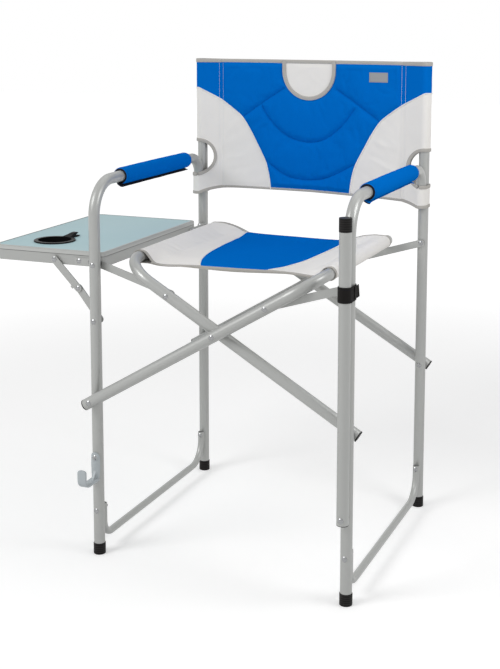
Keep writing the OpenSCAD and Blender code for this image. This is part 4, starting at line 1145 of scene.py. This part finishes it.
def make_arm_pad(side, sizes):
    """A foam sleeve round one arm tube, open along its underside, where its two edges hang side by side."""
    word, x0 = side_word(side), side * HALF_SPAN
    start, end = (LEFT_Y + 121.0, LEFT_Y + 464.0) if side < 0 else (112.0, 457.0)
    foam, bore, rows = sizes.pad_foam / MM, TUBE_R + 0.5, 92
    # Degrees of the outer skin, from the right edge below, over the top, to the left flap
    skin = np.linspace(-66, 236, 56)
    points, flat = [], []
    for v in np.arange(rows + 1) / rows:
        y = start + (end - start) * v
        ends = min(v, 1 - v) * (end - start)
        roll = 1 - 0.32 * math.exp(-ends / 2.6)
        ring = []
        for a in skin:
            wave = 0.35 * ripple(a * 0.4, y, 19, 11.0 + side) + 0.2 * ripple(a * 0.25, y, 8, 3.0)
            r = bore + foam * roll + wave * min(1, ends / 12) + 0.9 * math.sin(math.pi * v) * 0.6
            ring += arc(0, 0, r, a, a, 1)
        tip = 3.5 + 1.2 * ripple(y, 0, 40, 2.0)
        tuck = 0.0 if side < 0 else 3.6 * (1 - math.exp(-ends / 7))
        flap = [(-7.2, -19.6), (-3.0, -22.4), (2.0, -23.6 - 0.3 * tip), (6.4, -23.4 - 0.35 * tip),
                (7.0, -22.2 - 0.35 * tip), (2.4, -21.4 - 0.2 * tip), (-3.4, -19.2), (-6.6, -16.0)]
        ring += [(x, z + tuck) for x, z in flap] + arc(0, 0, bore + 0.1, 236, -62, 44)
        for share, drop in ((0.35, 0.8), (0.8, 0.9)):
            ring += arc(0, -drop, bore + foam * share, -65, -65, 1)
        points += [(x0 + x, y, ARM_Z + z) for x, z in ring]
        flat += [(run, y) for run in round_lengths(ring)]
    count = len(ring)
    faces = [(a, d, c, b) for a, b, c, d in grid_faces(rows, count)]
    # Blue on the outer skin and part of the flap; near-black on the rest of the flap and in the bore
    blue = len(skin) + (2 if side < 0 else 7)
    tints = [0 if k % count < blue or k % count >= count - 2 else 1 for k in range(len(faces))]
    for r in (0, rows):
        faces += cap_faces(points, [range(r * count, (r + 1) * count)])
    tints += [1] * (len(faces) - len(tints))
    pad = add_piece(f"{word}_arm_cover", (points, faces), ["blue", "lining"], f"{word}_frame", "blue_pad",
                    [f"{word}_arm_pad"], tints=tints, flat=flat)
    normals = [(x, 0, z) for x, z in arc(0, 0, 1, -60, 230, 90)]
    rings = [[(x, start + (end - start) * v, z) for x, z in arc(x0, ARM_Z, bore + foam + 0.5, -60, 230, 90)]
             for v in (0.014, 0.986)]
    add_piece(f"{word}_arm_stitches", joined([stitches(ring, normals, 3.2, sizes.thread / MM * FINE)
                                              for ring in rings]), ["blue_thread"], f"{word}_frame")


# Straps

STRAP_LOW, STRAP_TALL = 642.0, 32.0
STRAP_SPLIT = -15.0  # where the two halves meet
BAR_Y = -28.0


def make_straps(sizes):
    """The webbing round the upright footrest bar and the right front leg, in its two halves."""
    thick = sizes.strap_thickness / MM
    r, z = 12.9 + thick / 2, STRAP_LOW + STRAP_TALL / 2
    for word, body, centre, turn in (("front", "footrest", BAR_Y, -1), ("back", "right_frame", 0.0, 1)):
        end, u = STRAP_SPLIT + turn * 0.4, turn * r
        line = [(u, end), (u, centre), *arc(0, centre, u, 0, 180, 26)[1:-1], (-u, centre), (-u, end)]
        path = resample([(HALF_SPAN + x, y, z) for x, y in line], 2.5)
        parts = [tape(path, UP, STRAP_TALL, thick, sides=20, square=0.35)]
        if turn > 0:
            # The overlapped end, sewn down and standing off a little on the right
            lap = [(0, STRAP_SPLIT + 1.5, 1), (0, -6, 1), (0.4, 2, 1.5), (1.8, 9, 2.5)]
            lap = smooth_line([(HALF_SPAN + r + thick + out, y, z + up) for out, y, up in lap], 2.0)
            parts.append(tape(lap, UP, STRAP_TALL - 6, thick, sides=20, square=0.35))
        normals = [unit(np.array([x - HALF_SPAN, turn * max(0, turn * (y - centre)), 0])) for x, y, _ in path]
        rows = [stitches([np.array([x, y, height]) + n * thick / 2 for (x, y, _), n in zip(path, normals)],
                         normals, 3.4, 0.8) for height in (STRAP_LOW + 4.5, STRAP_LOW + STRAP_TALL - 4.5)]
        shape = joined(parts)
        add_piece(f"strap_{word}_webbing", shape, ["webbing"], body, "strap", [f"strap_{word}"],
                  flat=[(p[2], p[0] + p[1]) for p in shape[0]])
        add_piece(f"strap_{word}_stitches", joined(rows), ["lining"], body)


# Cast hook and cup tab


def fused(piece, voxel, rounds):
    """One smooth skin over a piece's overlapping solids."""
    melt = piece.modifiers.new("fuse", "REMESH")
    melt.mode, melt.voxel_size = "VOXEL", voxel * MM
    soft = piece.modifiers.new("soften", "SMOOTH")
    soft.factor, soft.iterations = 0.5, rounds
    ready = piece.evaluated_get(bpy.context.evaluated_depsgraph_get())
    mesh = bpy.data.meshes.new_from_object(ready)
    piece.modifiers.clear()
    piece.data = mesh
    mesh.shade_smooth()
    return piece


def make_hook():
    """The cast hook for the footrest bar: a collar on the leg, a boss for its rivet, and an upturned cradle."""
    cx, cy = -HALF_SPAN, LEFT_Y
    # The collar's half width at each height
    sides = [(172, 4.0), (173.5, 6.2), (177, 8.2), (185, 10.0), (200, 11.3), (215, 11.5), (229, 11.0)]
    sides += [(229 + 11 * math.sin(a), 11 * math.cos(a)) for a in np.radians((15, 30, 45, 60, 72, 82))]
    zs, halves = np.array(sides).T
    outer, inner = [], []
    rows, across = 60, 15
    for z in np.linspace(zs[0], zs[-1], rows):
        for t in np.linspace(-1, 1, across):
            a = math.radians(-90) + t * float(np.interp(z, zs, halves)) / 14.5
            for skin, r in ((outer, 16.5), (inner, 12.6)):
                skin.append((cx + r * math.cos(a), cy + r * math.sin(a), z))
    collar = close_sheet(outer, inner, grid_faces(rows - 1, across, ring=False))
    boss = extruded(arc(0, 0, 7.5, 0, 360, 33)[:-1], lambda u, w, end: (cx + u, 13.0 + 1.6 * end, 228 + w))
    web = extruded([(14, 178), (14, 201), (9, 193), (1, 184), (-7, 179)], lambda u, w, end: (cx + 3.2 * end, u, w))
    bend_y, bend_z, r, lip_z, lip = -28.0, 194.5, 16.65, 217.5, 6
    path = [(14.5, bend_z - r), (bend_y, bend_z - r), *arc(bend_y, bend_z, r, 266, 184, 24), (bend_y - r, bend_z),
            (bend_y - r, lip_z)]
    path = resample([(cx, y, z) for y, z in path], 1.0)
    left = lip_z - path[:, 2]
    wide = np.where((left < lip) & (path[:, 1] < bend_y),
                    10 + 12 * np.sqrt(np.clip(1 - (1 - left / lip) ** 2, 0, 1)), 22)
    cradle = tape(path, (1, 0, 0), wide, 5.5, sides=24, square=0.4)
    hook = outward(make_mesh("hook_cast", joined([collar, boss, web, cradle]), ["cast"]))
    hand_over(fused(hook, 0.75, 5), "left_frame", ["footrest_hook"])


def make_cup_tab():
    """The black tab behind the cup: a wedge with a notched end."""
    tip, reach = math.radians(78), 45
    along, side = np.array([math.cos(tip), math.sin(tip), 0]), np.array([-math.sin(tip), math.cos(tip), 0])
    start = np.array([-466, 142.6, 0]) + reach * along
    outline = [(-6, 685), (34, 684.4), (35.4, 685.6), (34, 687.4), (25, 687.9), (20, 689.2), (28.6, 692),
               (30, 693.6), (27, 695), (18, 694.6), (8, 691.4), (-6, 687.6)]

    def place(u, w, end):
        return tuple(start + along * u + (0, 0, w) + side * end * (6 + 7 * max(0.0, 1 - (u + 6) / 22)))

    tab = outward(make_mesh("cup_tab_wedge", extruded(outline, place), ["cup"]))
    hand_over(fused(tab, 0.6, 6), "table", ["cup_tab"])


# The stage


def make_floor():
    """A plain pale floor that keeps the chair's shadow, and pales into the surroundings far from it."""
    size = 14.0
    mesh = bpy.data.meshes.new("floor")
    mesh.from_pydata([(-size, -size, 0), (size, -size, 0), (size, size, 0), (-size, size, 0)], [], [(0, 1, 2, 3)])
    material, tree, shader = start_material("Pale floor")
    feed(tree, shader, {"Base Color": (0.86, 0.86, 0.86, 1), "Roughness": 0.9, "Specular IOR Level": 0.1})
    light = put(tree, "ShaderNodeLightPath").outputs
    place = put(tree, "ShaderNodeTexCoord").outputs["Object"]
    far = put(tree, "ShaderNodeVectorMath", {0: place}, operation="LENGTH").outputs["Value"]
    paler = map_range(tree, far, 1.2, 3.5, 0.30, 0.62, interpolation_type="SMOOTHSTEP")
    seen = math_node(tree, "MAXIMUM", light["Is Camera Ray"], light["Is Glossy Ray"])
    seen = math_node(tree, "MAXIMUM", seen, light["Is Transmission Ray"])
    strength = math_node(tree, "MULTIPLY", seen, paler)
    glow = put(tree, "ShaderNodeEmission", {"Color": (1, 1, 1, 1), "Strength": strength})
    both = put(tree, "ShaderNodeAddShader", {0: shader.outputs[0], 1: glow.outputs[0]})
    feed(tree, tree.nodes["Material Output"], {0: both.outputs[0]})
    mesh.materials.append(material)
    add_object("floor", mesh)


def make_world():
    """White surroundings for the camera and for reflections, and plain soft light for the rest."""
    world = bpy.data.worlds.new("Studio")
    bpy.context.scene.world = world
    world.use_nodes = True
    tree = world.node_tree
    tree.nodes.clear()
    light = put(tree, "ShaderNodeLightPath").outputs
    seen = math_node(tree, "MAXIMUM", light["Is Camera Ray"], light["Is Transmission Ray"])
    strength = map_range(tree, seen, 0.0, 1.0, 0.48, 1.0)
    mirror = map_range(tree, light["Is Glossy Ray"], 0.0, 1.0, 0.0, 0.92)
    back = put(tree, "ShaderNodeBackground", {"Color": (1, 1, 1, 1),
                                              "Strength": math_node(tree, "MAXIMUM", strength, mirror)})
    put(tree, "ShaderNodeOutputWorld", {0: back.outputs[0]})


def make_lamps():
    """Soft lamps: a large key from the front left, a near one at the right, and a weak top light."""
    for name, place, target, size, power in (
            ("key_lamp", (-1.9, -2.7, 2.9), (0.1, 0, 0.7), 1.9, 62),
            ("side_lamp", (1.35, -0.2, 1.5), (0.35, 0, 0.8), 0.7, 6.5),
            ("top_lamp", (0.2, 0.9, 3.4), (0.1, 0, 0.6), 2.4, 6)):
        lamp = bpy.data.lights.new(name, "AREA")
        lamp.shape, lamp.size, lamp.energy = "DISK", size, power
        holder = add_object(name, lamp)
        holder.location = place
        holder.rotation_euler = (Vector(target) - Vector(place)).to_track_quat("-Z", "Y").to_euler()


def make_camera():
    """The photograph's camera: a little above the seat, from the front and the chair's left."""
    view = bpy.data.cameras.new("camera")
    view.sensor_width, view.lens, view.shift_y, view.clip_end = 36, 67.53, -0.216, 60
    holder = add_object("camera", view)
    holder.location = spot(1046, -2333, 1204)
    holder.rotation_euler = (math.radians(90 - 7.97), 0, math.radians(22.44))
    bpy.context.scene.camera = holder


# Operators


class ChairStep:
    """What the chair's operators share."""
    bl_options = {"REGISTER"}

    def check(self, context):
        if not hasattr(context.scene, "chair_sizes"):
            raise RuntimeError("register the chair's sizes and colours first")
        make_finishes(context.scene.chair_colours)
        return context.scene.chair_sizes


class CHAIR_OT_frame_finish(ChairStep, bpy.types.Operator):
    """Give every carried-over node of the frame its metal, plastic or laminate finish"""
    bl_idname = "chair.frame_finish"
    bl_label = "Frame Finishes"

    def execute(self, context):
        self.check(context)
        for name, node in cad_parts.items():
            finish = FINISHES[finish_for(name)]
            if not node.material_slots:
                node.data.materials.append(finish)
            for slot in node.material_slots:
                slot.material = finish
        return {"FINISHED"}


class CHAIR_OT_back_cover(ChairStep, bpy.types.Operator):
    """Make the quilted back panel, its sleeves, edge tapes, piping, stitches and plain tag"""
    bl_idname = "chair.back_cover"
    bl_label = "Back Cover"

    def execute(self, context):
        sizes = self.check(context)
        make_back_panel(sizes)
        make_back_trim(sizes)
        for side in (-1, 1):
            make_back_sleeve(side, sizes)
        return {"FINISHED"}


class CHAIR_OT_seat_cover(ChairStep, bpy.types.Operator):
    """Make the seat's cloth with its sleeves, edge tapes, piping and stitches"""
    bl_idname = "chair.seat_cover"
    bl_label = "Seat Cover"

    def execute(self, context):
        sizes = self.check(context)
        make_seat_cover(sizes)
        make_seat_trim(sizes)
        return {"FINISHED"}


class CHAIR_OT_arm_pads(ChairStep, bpy.types.Operator):
    """Make the two foam arm sleeves"""
    bl_idname = "chair.arm_pads"
    bl_label = "Arm Pads"

    def execute(self, context):
        sizes = self.check(context)
        for side in (-1, 1):
            make_arm_pad(side, sizes)
        return {"FINISHED"}


class CHAIR_OT_straps(ChairStep, bpy.types.Operator):
    """Make the webbing strap round the footrest bar and the leg"""
    bl_idname = "chair.straps"
    bl_label = "Straps"

    def execute(self, context):
        make_straps(self.check(context))
        return {"FINISHED"}


class CHAIR_OT_fittings(ChairStep, bpy.types.Operator):
    """Make the cast hook on the left leg and the tab behind the cup"""
    bl_idname = "chair.fittings"
    bl_label = "Hook and Cup Tab"

    def execute(self, context):
        self.check(context)
        make_hook()
        make_cup_tab()
        return {"FINISHED"}


class CHAIR_OT_stage(ChairStep, bpy.types.Operator):
    """Make the pale floor, the soft lamps, the white surroundings and the camera"""
    bl_idname = "chair.stage"
    bl_label = "Stage"

    def execute(self, context):
        self.check(context)
        make_floor()
        make_world()
        make_lamps()
        make_camera()
        context.scene.view_settings.view_transform = "Standard"
        return {"FINISHED"}


STEPS = (CHAIR_OT_frame_finish, CHAIR_OT_back_cover, CHAIR_OT_seat_cover, CHAIR_OT_arm_pads, CHAIR_OT_straps,
         CHAIR_OT_fittings, CHAIR_OT_stage)


class CHAIR_PT_steps(bpy.types.Panel):
    """Sizes, colours and steps of the chair"""
    bl_idname = "CHAIR_PT_steps"
    bl_label = "Tall Director Chair"
    bl_space_type = "VIEW_3D"
    bl_region_type = "UI"
    bl_category = "Chair"

    def draw(self, context):
        for group in (context.scene.chair_sizes, context.scene.chair_colours):
            box = self.layout.box()
            for key in group.bl_rna.properties.keys():
                if key not in ("rna_type", "name"):
                    box.prop(group, key)
        for step in STEPS:
            self.layout.operator(step.bl_idname)


CLASSES = (ChairSizes, ChairColours, *STEPS, CHAIR_PT_steps)


def register():
    for item in CLASSES:
        bpy.utils.register_class(item)
    bpy.types.Scene.chair_sizes = bpy.props.PointerProperty(type=ChairSizes)
    bpy.types.Scene.chair_colours = bpy.props.PointerProperty(type=ChairColours)


def unregister():
    del bpy.types.Scene.chair_colours
    del bpy.types.Scene.chair_sizes
    for item in reversed(CLASSES):
        bpy.utils.unregister_class(item)


def main():
    register()
    bpy.ops.chair.frame_finish()
    bpy.ops.chair.back_cover()
    bpy.ops.chair.seat_cover()
    bpy.ops.chair.arm_pads()
    bpy.ops.chair.straps()
    bpy.ops.chair.fittings()
    bpy.ops.chair.stage()


if __name__ == "__main__":
    main()
